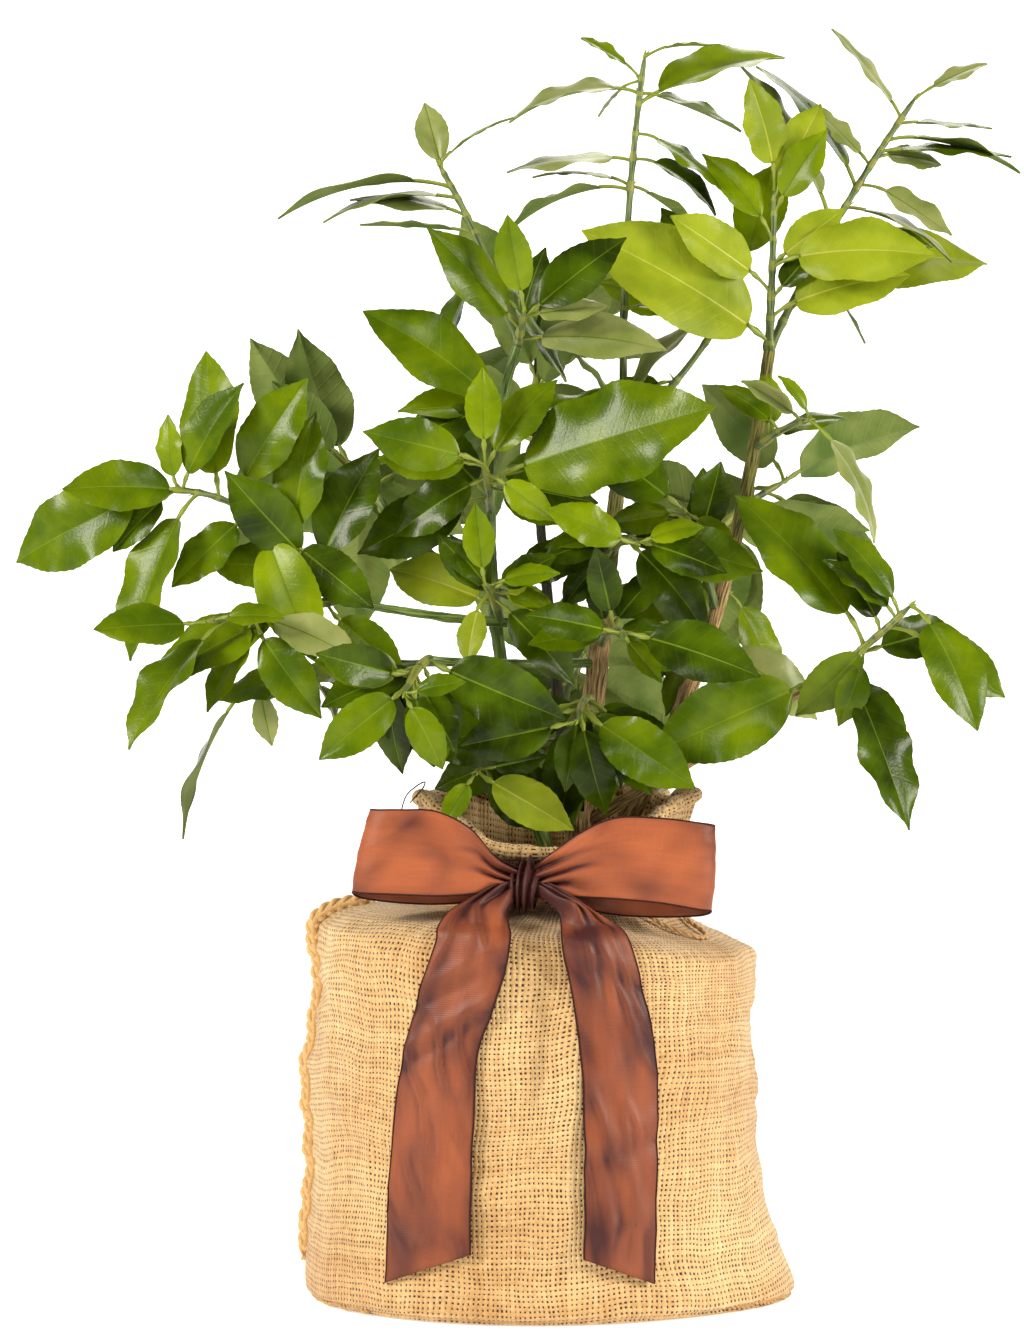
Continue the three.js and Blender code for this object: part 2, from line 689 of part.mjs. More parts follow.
// The same outline, moved in by the thickness of the cloth.
function sackLining(outline) {
  return outline.map(([radius, height], i) => {
    const [r0, h0] = outline[Math.max(0, i - 1)];
    const [r1, h1] = outline[Math.min(outline.length - 1, i + 1)];
    const run = Math.hypot(r1 - r0, h1 - h0);
    if (i === 0) return [radius - 1, SACK_WALL];
    const inner = [radius - (SACK_WALL * (h1 - h0)) / run, height + (SACK_WALL * (r1 - r0)) / run];
    return i === outline.length - 1 ? [radius - SACK_WALL, height] : inner;
  });
}

function sackSolid() {
  const turns = Array.from({ length: SACK_SIDES }, (_, side) => (2 * Math.PI * side) / SACK_SIDES);
  const outlines = turns.map(sackOutline);
  const linings = outlines.map(sackLining);
  const ringOf = (profiles, level) =>
    turns.map((turn, side) => {
      const [radius, height] = profiles[side][level];
      return [neckShift(height) + radius * Math.cos(turn), radius * Math.sin(turn), height];
    });
  const levels = outlines[0].map((_, level) => level);
  const outer = levels.map((level) => ringOf(outlines, level));
  const inner = LINING_LEVELS.map((level) => ringOf(linings, level));
  return Manifold.union([loft([...outer, ...inner]), seamSolid()]);
}

// The thick stitched seam that runs up the sack's left side.
function seamSolid() {
  const top = shoulderHeight(Math.PI) - 6;
  const place = (height) => [SEAM_SINK - sackSide(Math.PI, height), SEAM_FORWARD, height];
  return barAlong(curveOf(place(SEAM_FOOT), place(top / 2), place(top)), () => SEAM_RADIUS, SEAM_SIDES, 4);
}

// A strip of ribbon through rows of its middle, the way across it, the way out of its face and
// its width.
function stripSolid(rows) {
  return loft(
    rows.map(({ middle, across, out, width }) =>
      [[-1, -1], [1, -1], [1, 1], [-1, 1]].map(([side, face]) =>
        mix([1, middle], [(side * width) / 2, across], [(face * RIBBON_THICK) / 2, out]),
      ),
    ),
  );
}

// The band that ties the neck.
function bandSolid() {
  const inside = NECK_RADIUS + GAP;
  const low = NECK_HEIGHT - BAND_WIDTH / 2 + 1;
  const high = NECK_HEIGHT + BAND_WIDTH / 2 - 1;
  const ring = (radius, height) => levelRing(SACK_SIDES, () => radius, () => height);
  const disc = loft([ring(inside + RIBBON_THICK, low), ring(inside + RIBBON_THICK, high)]);
  const hole = loft([ring(inside, low - 1), ring(inside, high + 1)]);
  return disc.subtract(hole).translate([NECK_SHIFT, 0, 0]);
}

function knotSolid(margin = 0) {
  const half = KNOT_HALF.map((size) => size + margin);
  const poles = [-1, 1].map((end) => levelRing(KNOT_SIDES, () => KNOT_TIP, () => end * half[2]));
  const rings = KNOT_LEVELS.map((degrees) => {
    const share = Math.cos(radians(degrees));
    return levelRing(KNOT_SIDES, () => share, () => half[2] * Math.sin(radians(degrees)));
  });
  const round = [poles[0], ...rings, poles[1]].map((ring) =>
    ring.map(([x, y, z]) => add(KNOT_MIDDLE, [x * half[0], y * half[1], z])),
  );
  return loft(round);
}

// A loop of the bow: out from the knot along the front, round its end and back behind.
function loopSolid(side, rise) {
  const placeAt = (turn) => {
    const out = Math.sin(turn);
    const depth = LOOP_ROOT_DEPTH + (LOOP_DEPTH - LOOP_ROOT_DEPTH) * out ** 0.35;
    const x = KNOT_MIDDLE[0] + side * (LOOP_ROOT + LOOP_REACH * out ** 0.9);
    return [x, KNOT_MIDDLE[1] - LOOP_FORWARD - depth * Math.cos(turn), NECK_HEIGHT + rise * out];
  };
  const rows = Array.from({ length: LOOP_STEPS + 1 }, (_, step) => {
    const turn = (Math.PI * step) / LOOP_STEPS;
    const before = placeAt(Math.max(0, turn - 0.05));
    const after = placeAt(Math.min(Math.PI, turn + 0.05));
    const run = unit(add(after, before, -1));
    const across = unit(add([0, 0, 1], run, -run[2]));
    const width = LOOP_PINCH + (RIBBON_WIDTH - LOOP_PINCH) * Math.sin(turn) ** LOOP_FILL;
    return { middle: placeAt(turn), across, out: cross(run, across), width };
  });
  return largest(stripSolid(rows).subtract(knotSolid(GAP)));
}

// A tail of the bow, laid over the shoulder and down the front of the sack.
function tailSolid(side, places) {
  const onSack = ([x, height], row) => {
    const turn = -Math.acos(x / SACK_RADIUS);
    const radius = sackSide(turn, height) + 2 * RIBBON_THICK + (row === 0 ? 1 : 0);
    const middle = [radius * Math.cos(turn), radius * Math.sin(turn), height];
    const slant = row === places.length - 1 ? (-side * TAIL_SLANT) / RIBBON_WIDTH : 0;
    const across = [-Math.sin(turn), Math.cos(turn), slant];
    return { middle, across, out: [Math.cos(turn), Math.sin(turn), 0], width: RIBBON_WIDTH };
  };
  const start = add(KNOT_MIDDLE, [side * 7, -4, -KNOT_HALF[2] + GAP]);
  const top = { middle: start, across: [1, 0, 0], out: unit([0, -0.5, 1]), width: LOOP_PINCH };
  return stripSolid([top, ...places.map(onSack)]);
}

// The drawstring's tube.
function twineGeometry() {
  const section = new THREE.Shape();
  for (let side = 0; side < TWINE_SIDES; side++) {
    const turn = (2 * Math.PI * side) / TWINE_SIDES;
    const [x, y] = [Math.cos(turn), Math.sin(turn)].map((v) => (v * TWINE_DIAMETER) / 2);
    if (side === 0) section.moveTo(x, y);
    else section.lineTo(x, y);
  }
  section.closePath();
  const route = new THREE.CatmullRomCurve3(TWINE_ROUTE.map((place) => new THREE.Vector3(...place)));
  return new THREE.ExtrudeGeometry(section, { steps: TWINE_STEPS, extrudePath: route });
}

const plant = growPlant();
const group = new THREE.Group();
group.name = "potted_persian_lime_tree";

function geometryOf(solid) {
  const { numProp, vertProperties, triVerts } = solid.getMesh();
  const places = new Float32Array((vertProperties.length / numProp) * 3);
  for (let i = 0; i < places.length / 3; i++) {
    places.set(vertProperties.subarray(i * numProp, i * numProp + 3), i * 3);
  }
  const geometry = new THREE.BufferGeometry();
  geometry.setAttribute("position", new THREE.BufferAttribute(places, 3));
  geometry.setIndex(new THREE.BufferAttribute(triVerts, 1));
  geometry.computeVertexNormals();
  return geometry;
}

function addPiece(name, geometry, look) {
  const [color, roughness, metalness] = LOOKS[look];
  const piece = new THREE.Mesh(geometry, new THREE.MeshStandardMaterial({ color, roughness, metalness }));
  piece.name = name;
  group.add(piece);
}

addPiece("sack", geometryOf(sackSolid()), "hessian");
addPiece("pot", geometryOf(potSolid()), "plastic");
addPiece("compost", geometryOf(compostSolid()), "compost");
addPiece("drawstring", twineGeometry(), "jute");
addPiece("ribbon_band", geometryOf(bandSolid()), "taffeta");
addPiece("bow_knot", geometryOf(knotSolid()), "taffeta");
for (const [name, side] of [["left", -1], ["right", 1]]) {
  addPiece(`bow_loop_${name}`, geometryOf(loopSolid(side, LOOP_RISE[name])), "taffeta");
  addPiece(`ribbon_tail_${name}`, geometryOf(tailSolid(side, TAILS[name])), "taffeta");
}
for (const [name, solid] of Object.entries(limbSolids(plant.limbs))) {
  addPiece(name, geometryOf(solid), GREEN_LIMBS.includes(name) ? "green_bark" : "bark");
}
for (const [name, solid] of Object.entries(massSolids(plant))) {
  addPiece(name, geometryOf(solid), YOUNG_MASSES.includes(name) ? "young_leaf" : "leaf");
}

export default group;
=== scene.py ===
# %% [markdown]
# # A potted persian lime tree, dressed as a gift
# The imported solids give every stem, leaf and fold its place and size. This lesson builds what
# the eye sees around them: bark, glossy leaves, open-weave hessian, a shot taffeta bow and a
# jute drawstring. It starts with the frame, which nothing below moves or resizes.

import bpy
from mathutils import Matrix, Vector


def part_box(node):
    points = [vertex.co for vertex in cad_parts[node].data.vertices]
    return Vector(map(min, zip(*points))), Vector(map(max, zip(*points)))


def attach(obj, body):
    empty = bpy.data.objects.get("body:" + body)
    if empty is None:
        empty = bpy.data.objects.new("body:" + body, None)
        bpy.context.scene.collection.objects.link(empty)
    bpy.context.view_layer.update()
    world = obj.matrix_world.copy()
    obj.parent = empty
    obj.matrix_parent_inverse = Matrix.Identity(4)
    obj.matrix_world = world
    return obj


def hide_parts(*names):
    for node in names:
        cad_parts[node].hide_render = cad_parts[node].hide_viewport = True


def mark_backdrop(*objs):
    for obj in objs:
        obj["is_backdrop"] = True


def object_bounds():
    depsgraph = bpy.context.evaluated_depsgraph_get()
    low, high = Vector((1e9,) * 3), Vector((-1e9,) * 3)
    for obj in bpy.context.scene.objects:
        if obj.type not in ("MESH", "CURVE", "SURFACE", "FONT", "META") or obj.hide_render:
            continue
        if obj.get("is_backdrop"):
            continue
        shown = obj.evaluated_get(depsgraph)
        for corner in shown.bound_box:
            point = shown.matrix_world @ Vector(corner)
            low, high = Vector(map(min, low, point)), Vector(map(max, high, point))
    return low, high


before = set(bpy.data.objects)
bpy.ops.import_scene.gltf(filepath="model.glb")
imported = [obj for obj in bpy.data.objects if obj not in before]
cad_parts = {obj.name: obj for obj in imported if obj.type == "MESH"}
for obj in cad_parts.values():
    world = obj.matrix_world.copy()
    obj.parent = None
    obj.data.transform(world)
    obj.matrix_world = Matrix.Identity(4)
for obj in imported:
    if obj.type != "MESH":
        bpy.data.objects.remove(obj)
CAD_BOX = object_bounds()
print("nodes:", len(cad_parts))

# %% Tools of the trade
import math

import bpy
import numpy as np
from mathutils import Vector, noise

MM = 0.001
BODY = "root"
SURFACE = "Surface"
print("Blender", bpy.app.version_string)

# %% [markdown]
# ## Camera
# The plant was seen level, from about two metres in front and at half its height. The camera
# comes first, so that every later step can be judged through it. A long lens keeps the sack's
# sides straight. The view is upright, so the lens works on its height.

# %% Camera
VIEW_DISTANCE = 2100
VIEW_HEIGHT = 313
VIEW_SIDE = -9
VIEW_TALL = 664
SENSOR = 36

bpy.ops.object.camera_add(
    location=(VIEW_SIDE * MM, -VIEW_DISTANCE * MM, VIEW_HEIGHT * MM), rotation=(math.radians(90), 0, 0)
)
camera = bpy.context.object
camera.data.sensor_width = SENSOR
camera.data.lens = SENSOR * VIEW_DISTANCE / VIEW_TALL
bpy.context.scene.camera = camera
print("lens in mm:", round(camera.data.lens, 1))

# %% [markdown]
# ## Helpers for colour, nodes and joined meshes
# Colours are written as the hex values that a maker would pick from a swatch, and one function
# turns them linear. Another adds a shader node with its settings and links. Plain materials,
# from moulded plastic to spun jute, differ by the size of their grain, so one function makes
# them. Leaves and twigs are many and small, so they are made as arrays of rings and joined,
# which stays fast, while a modelled primitive for each of them would not.

# %% Colour and node helpers


def linear(hex_colour):
    """A hex swatch as linear red, green, blue and alpha."""
    parts = [int(hex_colour[i : i + 2], 16) / 255 for i in (1, 3, 5)]
    return [v / 12.92 if v <= 0.04045 else ((v + 0.055) / 1.055) ** 2.4 for v in parts] + [1]


def plug(material, value, socket):
    """Gives a socket a plain value, a hex swatch, an output, or a node's first live output."""
    if isinstance(value, bpy.types.Node):
        value = next(output for output in value.outputs if output.enabled)
    if isinstance(value, bpy.types.NodeSocket):
        material.node_tree.links.new(value, socket)
    else:
        socket.default_value = linear(value) if isinstance(value, str) else value


def add_node(material, kind, links=(), **settings):
    """Adds a node with its settings, and links its sockets by name, by number or in turn."""
    made = material.node_tree.nodes.new("ShaderNode" + kind)
    for name, value in settings.items():
        setattr(made, name, value)
    for socket, value in links.items() if isinstance(links, dict) else enumerate(links):
        plug(material, value, made.inputs[socket])
    return made


print("mid grey in linear light:", round(linear("#808080")[0], 3))

# %% Material helpers


def new_material(name, **sockets):
    """A material with its shader, whose constants are set on the shader's own sockets."""
    material = bpy.data.materials.new(name)
    material.use_nodes = True
    shader = material.node_tree.nodes["Principled BSDF"]
    for socket, value in sockets.items():
        plug(material, value, shader.inputs[socket.replace("_", " ")])
    return material, shader


def dress(material, shader, colour, relief):
    """Links a worked-out colour and relief to the shader."""
    plug(material, colour, shader.inputs["Base Color"])
    plug(material, relief, shader.inputs["Normal"])


def grainy_material(name, dark, light, grain_mm, detail, strength, depth_mm, **sockets):
    """One grain gives the tone, dark in its hollows and light on its tops, and the relief."""
    material, shader = new_material(name, **sockets)
    place = add_node(material, "TexCoord").outputs["Object"]
    grain = add_node(material, "TexNoise", {"Vector": place, "Scale": 1 / (grain_mm * MM), "Detail": detail})
    tone = add_node(material, "Mix", {0: grain, 6: dark, 7: light}, data_type="RGBA")
    relief = add_node(material, "Bump", {"Height": grain, "Strength": strength, "Distance": depth_mm * MM})
    dress(material, shader, tone, relief)
    return material


# %% Helpers that loft and join


def run_of(line):
    """How far along a line each of its points lies."""
    return np.concatenate([[0], np.cumsum(np.linalg.norm(np.diff(line, axis=0), axis=1))])


def skin_uv(rings):
    """Millimetres round and along a tube, with one column more than it has sides."""
    girth = np.linalg.norm(rings[:, 0] - rings[:, 1], axis=1).mean() * rings.shape[1]
    return np.stack(np.meshgrid(np.linspace(0, girth, rings.shape[1] + 1), run_of(rings.mean(1))), -1)


def grid_part(grid, uv, wrap=False, look=0):
    """Quads over rows and columns of points, with a UV map."""
    rows, columns = grid.shape[:2]
    r, c = np.meshgrid(np.arange(rows - 1), np.arange(columns if wrap else columns - 1), indexing="ij")
    r, c = r.ravel(), c.ravel()
    after = (c + 1) % columns
    near, far = r * columns, (r + 1) * columns
    quads = np.stack([near + c, near + after, far + after, far + c], 1)
    corners = np.stack([uv[r, c], uv[r, c + 1], uv[r + 1, c + 1], uv[r + 1, c]], 1)
    looks = np.broadcast_to(look, (rows - 1, len(quads) // (rows - 1))).ravel()
    return {"points": grid.reshape(-1, 3), "quads": quads, "looks": looks, "uv": corners}


def loft_part(rings, look=0, uv=None):
    """A closed loft over rings that run right-handed about the way from ring to ring."""
    rings = np.asarray(rings, float)
    count, sides = rings.shape[:2]
    part = grid_part(rings, skin_uv(rings) if uv is None else uv, wrap=True, look=look)
    k = np.arange(sides // 2 - 1)
    first = np.stack([k, sides - 1 - k, sides - 2 - k, k + 1], 1)
    last = np.stack([k, k + 1, sides - 2 - k, sides - 1 - k], 1) + (count - 1) * sides
    part["quads"] = np.concatenate([part["quads"], first, last])
    part["looks"] = np.concatenate([part["looks"], np.full(2 * len(k), part["looks"][0])])
    part["uv"] = np.concatenate([part["uv"], np.repeat(part["uv"][:1], 2 * len(k), 0)])
    return part


# %% Helpers that make a piece


def choose(piece):
    """Selects one object alone and makes it active."""
    bpy.ops.object.select_all(action="DESELECT")
    piece.select_set(True)
    bpy.context.view_layer.objects.active = piece


def apply_modifier(piece, kind, name, **settings):
    """Puts a modifier on a piece and applies it."""
    modifier = piece.modifiers.new(name, kind)
    for key, value in settings.items():
        setattr(modifier, key, value)
    choose(piece)
    bpy.ops.object.modifier_apply(modifier=name)


def piece_of(name, parts, materials, sharp=None):
    """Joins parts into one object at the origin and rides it."""
    starts = np.cumsum([0] + [len(p["points"]) for p in parts[:-1]])
    points = np.concatenate([p["points"] for p in parts]) * MM
    quads = np.concatenate([p["quads"] + start for p, start in zip(parts, starts)]).astype(np.int32)
    looks = np.concatenate([p["looks"] for p in parts]).astype(np.int32)
    corners = np.concatenate([p["uv"] for p in parts]).astype(np.float32)
    mesh = bpy.data.meshes.new(name)
    mesh.vertices.add(len(points))
    mesh.vertices.foreach_set("co", points.astype(np.float32).ravel())
    mesh.loops.add(quads.size)
    mesh.loops.foreach_set("vertex_index", quads.ravel())
    mesh.polygons.add(len(quads))
    mesh.polygons.foreach_set("loop_start", np.arange(0, quads.size, 4, dtype=np.int32))
    for material in materials:
        mesh.materials.append(material)
    mesh.polygons.foreach_set("material_index", looks)
    mesh.uv_layers.new(name=SURFACE).data.foreach_set("uv", corners.ravel())
    mesh.update(calc_edges=True)
    mesh.validate()
    mesh.shade_smooth()
    piece = bpy.data.objects.new(name, mesh)
    bpy.context.collection.objects.link(piece)
    if sharp is not None:
        choose(piece)
        bpy.ops.object.shade_smooth_by_angle(angle=math.radians(sharp))
    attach(piece, BODY)
    return piece


# %% Vector and curve helpers


def unit(v):
    """The same way, one long."""
    return v / np.linalg.norm(v)


def smooth_through(values, count):
    """Rows of values on a smooth curve through the given rows."""
    values = np.asarray(values, float)
    padded = np.concatenate([[2 * values[0] - values[1]], values, [2 * values[-1] - values[-2]]])
    place = np.linspace(0, len(values) - 1, count)
    i = np.minimum(place.astype(int), len(values) - 2)
    t = (place - i).reshape(-1, *[1] * (values.ndim - 1))
    a, b, c, d = padded[i], padded[i + 1], padded[i + 2], padded[i + 3]
    return 0.5 * (2 * b + (c - a) * t + (2 * a - 5 * b + 4 * c - d) * t**2 + (3 * b - a - 3 * c + d) * t**3)


def tube_rings(points, radii, sides, side=(0.0, 1.0, 0.0), flat=1.0):
    """Rings along points. radii holds one radius a point or one a ring and side."""
    points = np.asarray(points, float)
    ways = np.gradient(points, axis=0)
    turns = 2 * np.pi * np.arange(sides) / sides
    radii = np.asarray(radii, float)
    radii = radii if radii.ndim == 2 else np.repeat(radii[:, None], sides, 1)
    flats = np.broadcast_to(flat, len(points))
    reference = np.asarray(side, float)
    rings = []
    for point, way, radius, low in zip(points, ways, radii, flats):
        way = unit(way)
        reference = unit(reference - way * (reference @ way))
        over = np.cross(way, reference)
        across = np.cos(turns)[:, None] * reference + low * np.sin(turns)[:, None] * over
        rings.append(point + radius[:, None] * across)
    return np.array(rings)


# %% [markdown]
# ## Drawstring
# A loop of two-ply jute comes out of the gathered neck on the right shoulder and goes back in.
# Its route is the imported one. A plain tube would look like wire, so two plies are laid round
# each other along the route, which gives the rope its slant.

# %% Drawstring route and plies
TWINE_LAY = 9.0
PLIES = 2
PLY_RADIUS = 0.68
PLY_OFFSET = 0.56
PLY_SIDES = 8
TWINE_ROUTE = [
    (56, -55, 192.8), (60, -56.2, 189.8), (64, -57, 187.4), (68, -57.4, 185.6), (72, -57.2, 184.2),
    (76, -56.4, 182.8), (79.6, -54.8, 181.6), (82.6, -52.2, 180.8), (84.8, -48.8, 180.6),
    (85.8, -44.8, 181), (85.4, -40.6, 182), (83.6, -37, 183.6), (80.8, -34, 185.4),
    (77.6, -31.6, 187.6), (74.6, -29.8, 190.8),
]


def plies_along(route, lay, offset, radius, sides):
    """Strands laid round a route, one turn in every lay millimetres."""
    run = run_of(route)
    centre = tube_rings(route, np.full(len(route), 1.0), 4)
    first, second = centre[:, 0] - route, centre[:, 1] - route
    parts = []
    for ply in range(PLIES):
        turn = 2 * np.pi * (run / lay + ply / PLIES)
        strand = route + offset * (np.cos(turn)[:, None] * first + np.sin(turn)[:, None] * second)
        parts.append(loft_part(tube_rings(strand, np.full(len(route), radius), sides)))
    return parts


twine_route = smooth_through(TWINE_ROUTE, 120)

# %% [markdown]
# ## Jute and hessian
# Both are the same bast fibre. Hessian is its open plain weave, here at ten threads an inch, so
# the pitch is 2.54 mm and small holes show between the threads. The weave is worked out from
# the cloth's own UV map in millimetres: a warp and a weft, each a rounded ridge that rises and
# dips in turn, and a hole where neither lies. The holes are painted dark brown as painted shade
# seen through the cloth, and each thread darkens towards brown as painted shade where it dips.
# Thread thickness and tone wander, as they do in real jute.

# %% Jute material
FIBRE_MM = 0.35
# One fibre is too fine to show, so the streaks are drawn three fibres wide.
JUTE_GRAIN_MM = 3 * FIBRE_MM
# Spun jute is dull and hairy, and its raised fibres catch a soft sheen.
SPUN = {"Roughness": 0.92, "IOR": 1.5, "Sheen_Weight": 0.25}
JUTE = grainy_material("spun jute", "#8a6332", "#e0b477", JUTE_GRAIN_MM, 4.0, 0.6, 0.3, **SPUN)
SEAM_JUTE = grainy_material(
    "spun jute of the seam", "#a87c42", "#e9c48a", JUTE_GRAIN_MM, 4.0, 0.6, 0.3, **SPUN
)
print("jute streaks in mm:", round(JUTE_GRAIN_MM, 2))

# %% Twist the drawstring
plies = plies_along(twine_route, TWINE_LAY, PLY_OFFSET, PLY_RADIUS, PLY_SIDES)
twine = piece_of("drawstring_jute", plies, [JUTE])
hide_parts("drawstring")
print("plies:", len(plies))

# %% Hessian threads
THREAD_MM = 2.54
WARP_SHARE = 0.335
WEFT_SHARE = 0.32
WARP_KEY = 0.5
WEFT_KEY = 300.5
SLUB_RATE = 0.35
SLUB_SWELL = 0.5
THREAD_SPREAD = 0.08
WEAVE_RISE = 0.45


def threads_one_way(material, along, across, share, first_key, rise):
    """The warp or the weft: how high it stands, where it lies and each thread's own tone."""
    thread = add_node(material, "Math", [across], operation="FLOOR")
    key = add_node(material, "Math", [thread, first_key], operation="ADD")
    own = add_node(material, "TexWhiteNoise", {"W": key}, noise_dimensions="1D")
    slowly = add_node(material, "Math", [along, SLUB_RATE], operation="MULTIPLY")
    slub_place = add_node(material, "CombineXYZ", [slowly, key])
    slub = add_node(material, "TexNoise", {"Vector": slub_place, "Scale": 1.0})
    swell = add_node(material, "Math", [slub, 0.5], operation="SUBTRACT")
    width = add_node(material, "Math", [swell, SLUB_SWELL, share], operation="MULTIPLY_ADD")
    thicker = add_node(material, "Math", [own, 0.5], operation="SUBTRACT")
    width = add_node(material, "Math", [thicker, THREAD_SPREAD, width], operation="MULTIPLY_ADD")
    in_cell = add_node(material, "Math", [across], operation="FRACT")
    off_middle = add_node(material, "Math", [in_cell, 0.5], operation="SUBTRACT")
    aside = add_node(material, "Math", [off_middle], operation="ABSOLUTE")
    to_edge = add_node(material, "Math", [aside, width], operation="DIVIDE")
    squared = add_node(material, "Math", [to_edge, 2.0], operation="POWER")
    inside = add_node(material, "Math", [1.0, squared], operation="SUBTRACT")
    cover = add_node(material, "Math", [inside, 0.0], operation="GREATER_THAN")
    above = add_node(material, "Math", [inside, 0.0], operation="MAXIMUM")
    round_top = add_node(material, "Math", [above], operation="SQRT")
    step = add_node(material, "Math", [along, thread], operation="ADD")
    phase = add_node(material, "Math", [step, math.pi], operation="MULTIPLY")
    sine = add_node(material, "Math", [phase], operation="SINE")
    over_under = add_node(material, "Math", [sine, rise, 0.5], operation="MULTIPLY_ADD")
    top = add_node(material, "Math", [round_top, over_under], operation="ADD")
    height = add_node(material, "Math", [top, cover], operation="MULTIPLY")
    return height, cover, own


# %% Hessian material
WEAVE_DRIFTS = ((22.2, 2.4), (90.9, 18.0), (250, 26.0))
HAIR_MM = 2.38
CLOTH_PATCH_MM = 71.4
TONE_SPREAD = 0.1


def hessian_material(name):
    """Plain-weave jute, 2.54 mm a thread, with rounded threads and holes between them, the holes and the
    threads' dips in painted shade.
    """
    material, shader = new_material(name, Roughness=0.9, IOR=1.5, Sheen_Weight=0.3)
    place = add_node(material, "TexCoord").outputs["Object"]
    moved = add_node(material, "UVMap", uv_map=SURFACE)
    for span, reach in WEAVE_DRIFTS:
        drift = add_node(material, "TexNoise", {"Vector": place, "Scale": 1 / (span * MM), "Detail": 2.0})
        shifted = [drift.outputs["Color"], (reach, reach, 0), moved]
        moved = add_node(material, "VectorMath", shifted, operation="MULTIPLY_ADD")
    pitch = (1 / THREAD_MM, 1 / THREAD_MM, 0)
    cells = add_node(material, "VectorMath", [moved, pitch], operation="MULTIPLY")
    x, y, _ = add_node(material, "SeparateXYZ", [cells]).outputs
    warp, on_warp, warp_tone = threads_one_way(material, y, x, WARP_SHARE, WARP_KEY, WEAVE_RISE)
    weft, on_weft, weft_tone = threads_one_way(material, x, y, WEFT_SHARE, WEFT_KEY, -WEAVE_RISE)
    height = add_node(material, "Math", [warp, weft], operation="MAXIMUM")
    cover = add_node(material, "Math", [on_warp, on_weft], operation="MAXIMUM")
    tone = add_node(material, "Math", [warp_tone, weft_tone], operation="ADD")
    hairs = add_node(material, "TexNoise", {"Vector": place, "Scale": 1 / (HAIR_MM * MM), "Detail": 3.0})
    patches = add_node(
        material, "TexNoise", {"Vector": place, "Scale": 1 / (CLOTH_PATCH_MM * MM), "Detail": 3.0}
    )
    blend = add_node(material, "Math", [patches, 0.8, -0.45], operation="MULTIPLY_ADD")
    blend = add_node(material, "Math", [hairs, 0.5, blend], operation="MULTIPLY_ADD")
    blend = add_node(material, "Math", [tone, TONE_SPREAD, blend], operation="MULTIPLY_ADD")
    fibre = add_node(material, "Mix", {0: blend, 6: "#b27f3e", 7: "#f9e1aa"}, data_type="RGBA")
    # Painted shade: each thread darkens towards brown where it dips, and the holes are painted dark brown for
    # the shade seen through them.
    deep = add_node(material, "Math", [height, 0.6, 0.3], operation="MULTIPLY_ADD")
    shaded = add_node(material, "Mix", {0: deep, 6: "#7c4209", 7: fibre}, data_type="RGBA")
    holes_in_painted_shade = add_node(material, "Mix", {0: cover, 6: "#3e2003", 7: shaded}, data_type="RGBA")
    relief = add_node(material, "Bump", {"Height": height, "Strength": 0.7, "Distance": 0.6 * MM})
    dress(material, shader, holes_in_painted_shade, relief)
    return material


HESSIAN = hessian_material("open hessian, plain weave")
print("threads an inch:", round(25.4 / THREAD_MM))

# %% [markdown]
# ## The sack
# A flat hessian bag is pulled up over the nursery pot and gathered at the neck, so it is one
# sheet: its foot spreads in an ear at the right, its shoulder is round and its collar stands
# open above the tie. Simulating the gathers would take minutes and give a different neck from
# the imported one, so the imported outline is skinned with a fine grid, and pleats, ripples and the
# ear are added as moves in code. Solidify then gives the cloth its thickness.

# %% Sack sizes
SACK_RADIUS = 110
SACK_RIGHT_EXTRA = 2
FOOT_EAR_RIGHT = 20
FOOT_EAR_LEFT = 4
FOOT_EAR_HEIGHT = 120
SHOULDER_HEIGHT = 184
SHOULDER_TILT = 8
NECK_RADIUS = 62
NECK_HEIGHT = 207
NECK_SHIFT = 9
COLLAR_RADIUS = 69
COLLAR_HEIGHT = 250
COLLAR_FRONT_DIP = 27
BAND_WIDTH = 15
CLOTH_MM = 1.2


def bulge(turn, middle, width):
    """A round swelling about one turn of the sack."""
    away = np.arctan2(np.sin(turn - middle), np.cos(turn - middle))
    return np.exp(-((away / width) ** 2))


def sack_side(turn, height):
    """How far the sack's side stands from its middle, with the ears of its foot."""
    spread = np.maximum(0, 1 - height / FOOT_EAR_HEIGHT) ** 2
    ears = FOOT_EAR_RIGHT * bulge(turn, 0, 0.6) + FOOT_EAR_LEFT * bulge(turn, np.pi, 0.6)
    return SACK_RADIUS + SACK_RIGHT_EXTRA * np.cos(turn) + spread * ears


def sack_profile(turn):
    """Radius and height from the middle of the foot to the collar's edge, at each turn."""
    shoulder = SHOULDER_HEIGHT - SHOULDER_TILT * np.cos(turn)
    foot = sack_side(turn, 0)
    side = sack_side(turn, FOOT_EAR_HEIGHT)
    neck = NECK_HEIGHT - BAND_WIDTH / 2
    collar = COLLAR_HEIGHT - COLLAR_FRONT_DIP * bulge(turn, -np.pi / 2, 0.9)
    flat = np.zeros_like(turn)
    rows = [
        (flat + 1, flat + 0.6), (flat + 50, flat + 0.3), (foot - 9, flat + 0.3), (foot - 3, flat + 2.2),
        (foot, flat + 9), (sack_side(turn, 45), flat + 45), (sack_side(turn, 85), flat + 85),
        (side + 1, flat + 140), (side, shoulder - 14), (side - 3.5, shoulder - 4), (side - 12, shoulder + 1),
        (side - 30, shoulder + (neck - shoulder) * 0.4), (flat + NECK_RADIUS + 6, flat + neck - 5),
        (flat + NECK_RADIUS, flat + neck + 1), (flat + NECK_RADIUS, flat + neck + BAND_WIDTH - 1),
        (flat + NECK_RADIUS + 4, (neck + BAND_WIDTH + collar) / 2), (flat + COLLAR_RADIUS, collar),
    ]
    return np.stack([np.stack(row, -1) for row in rows])


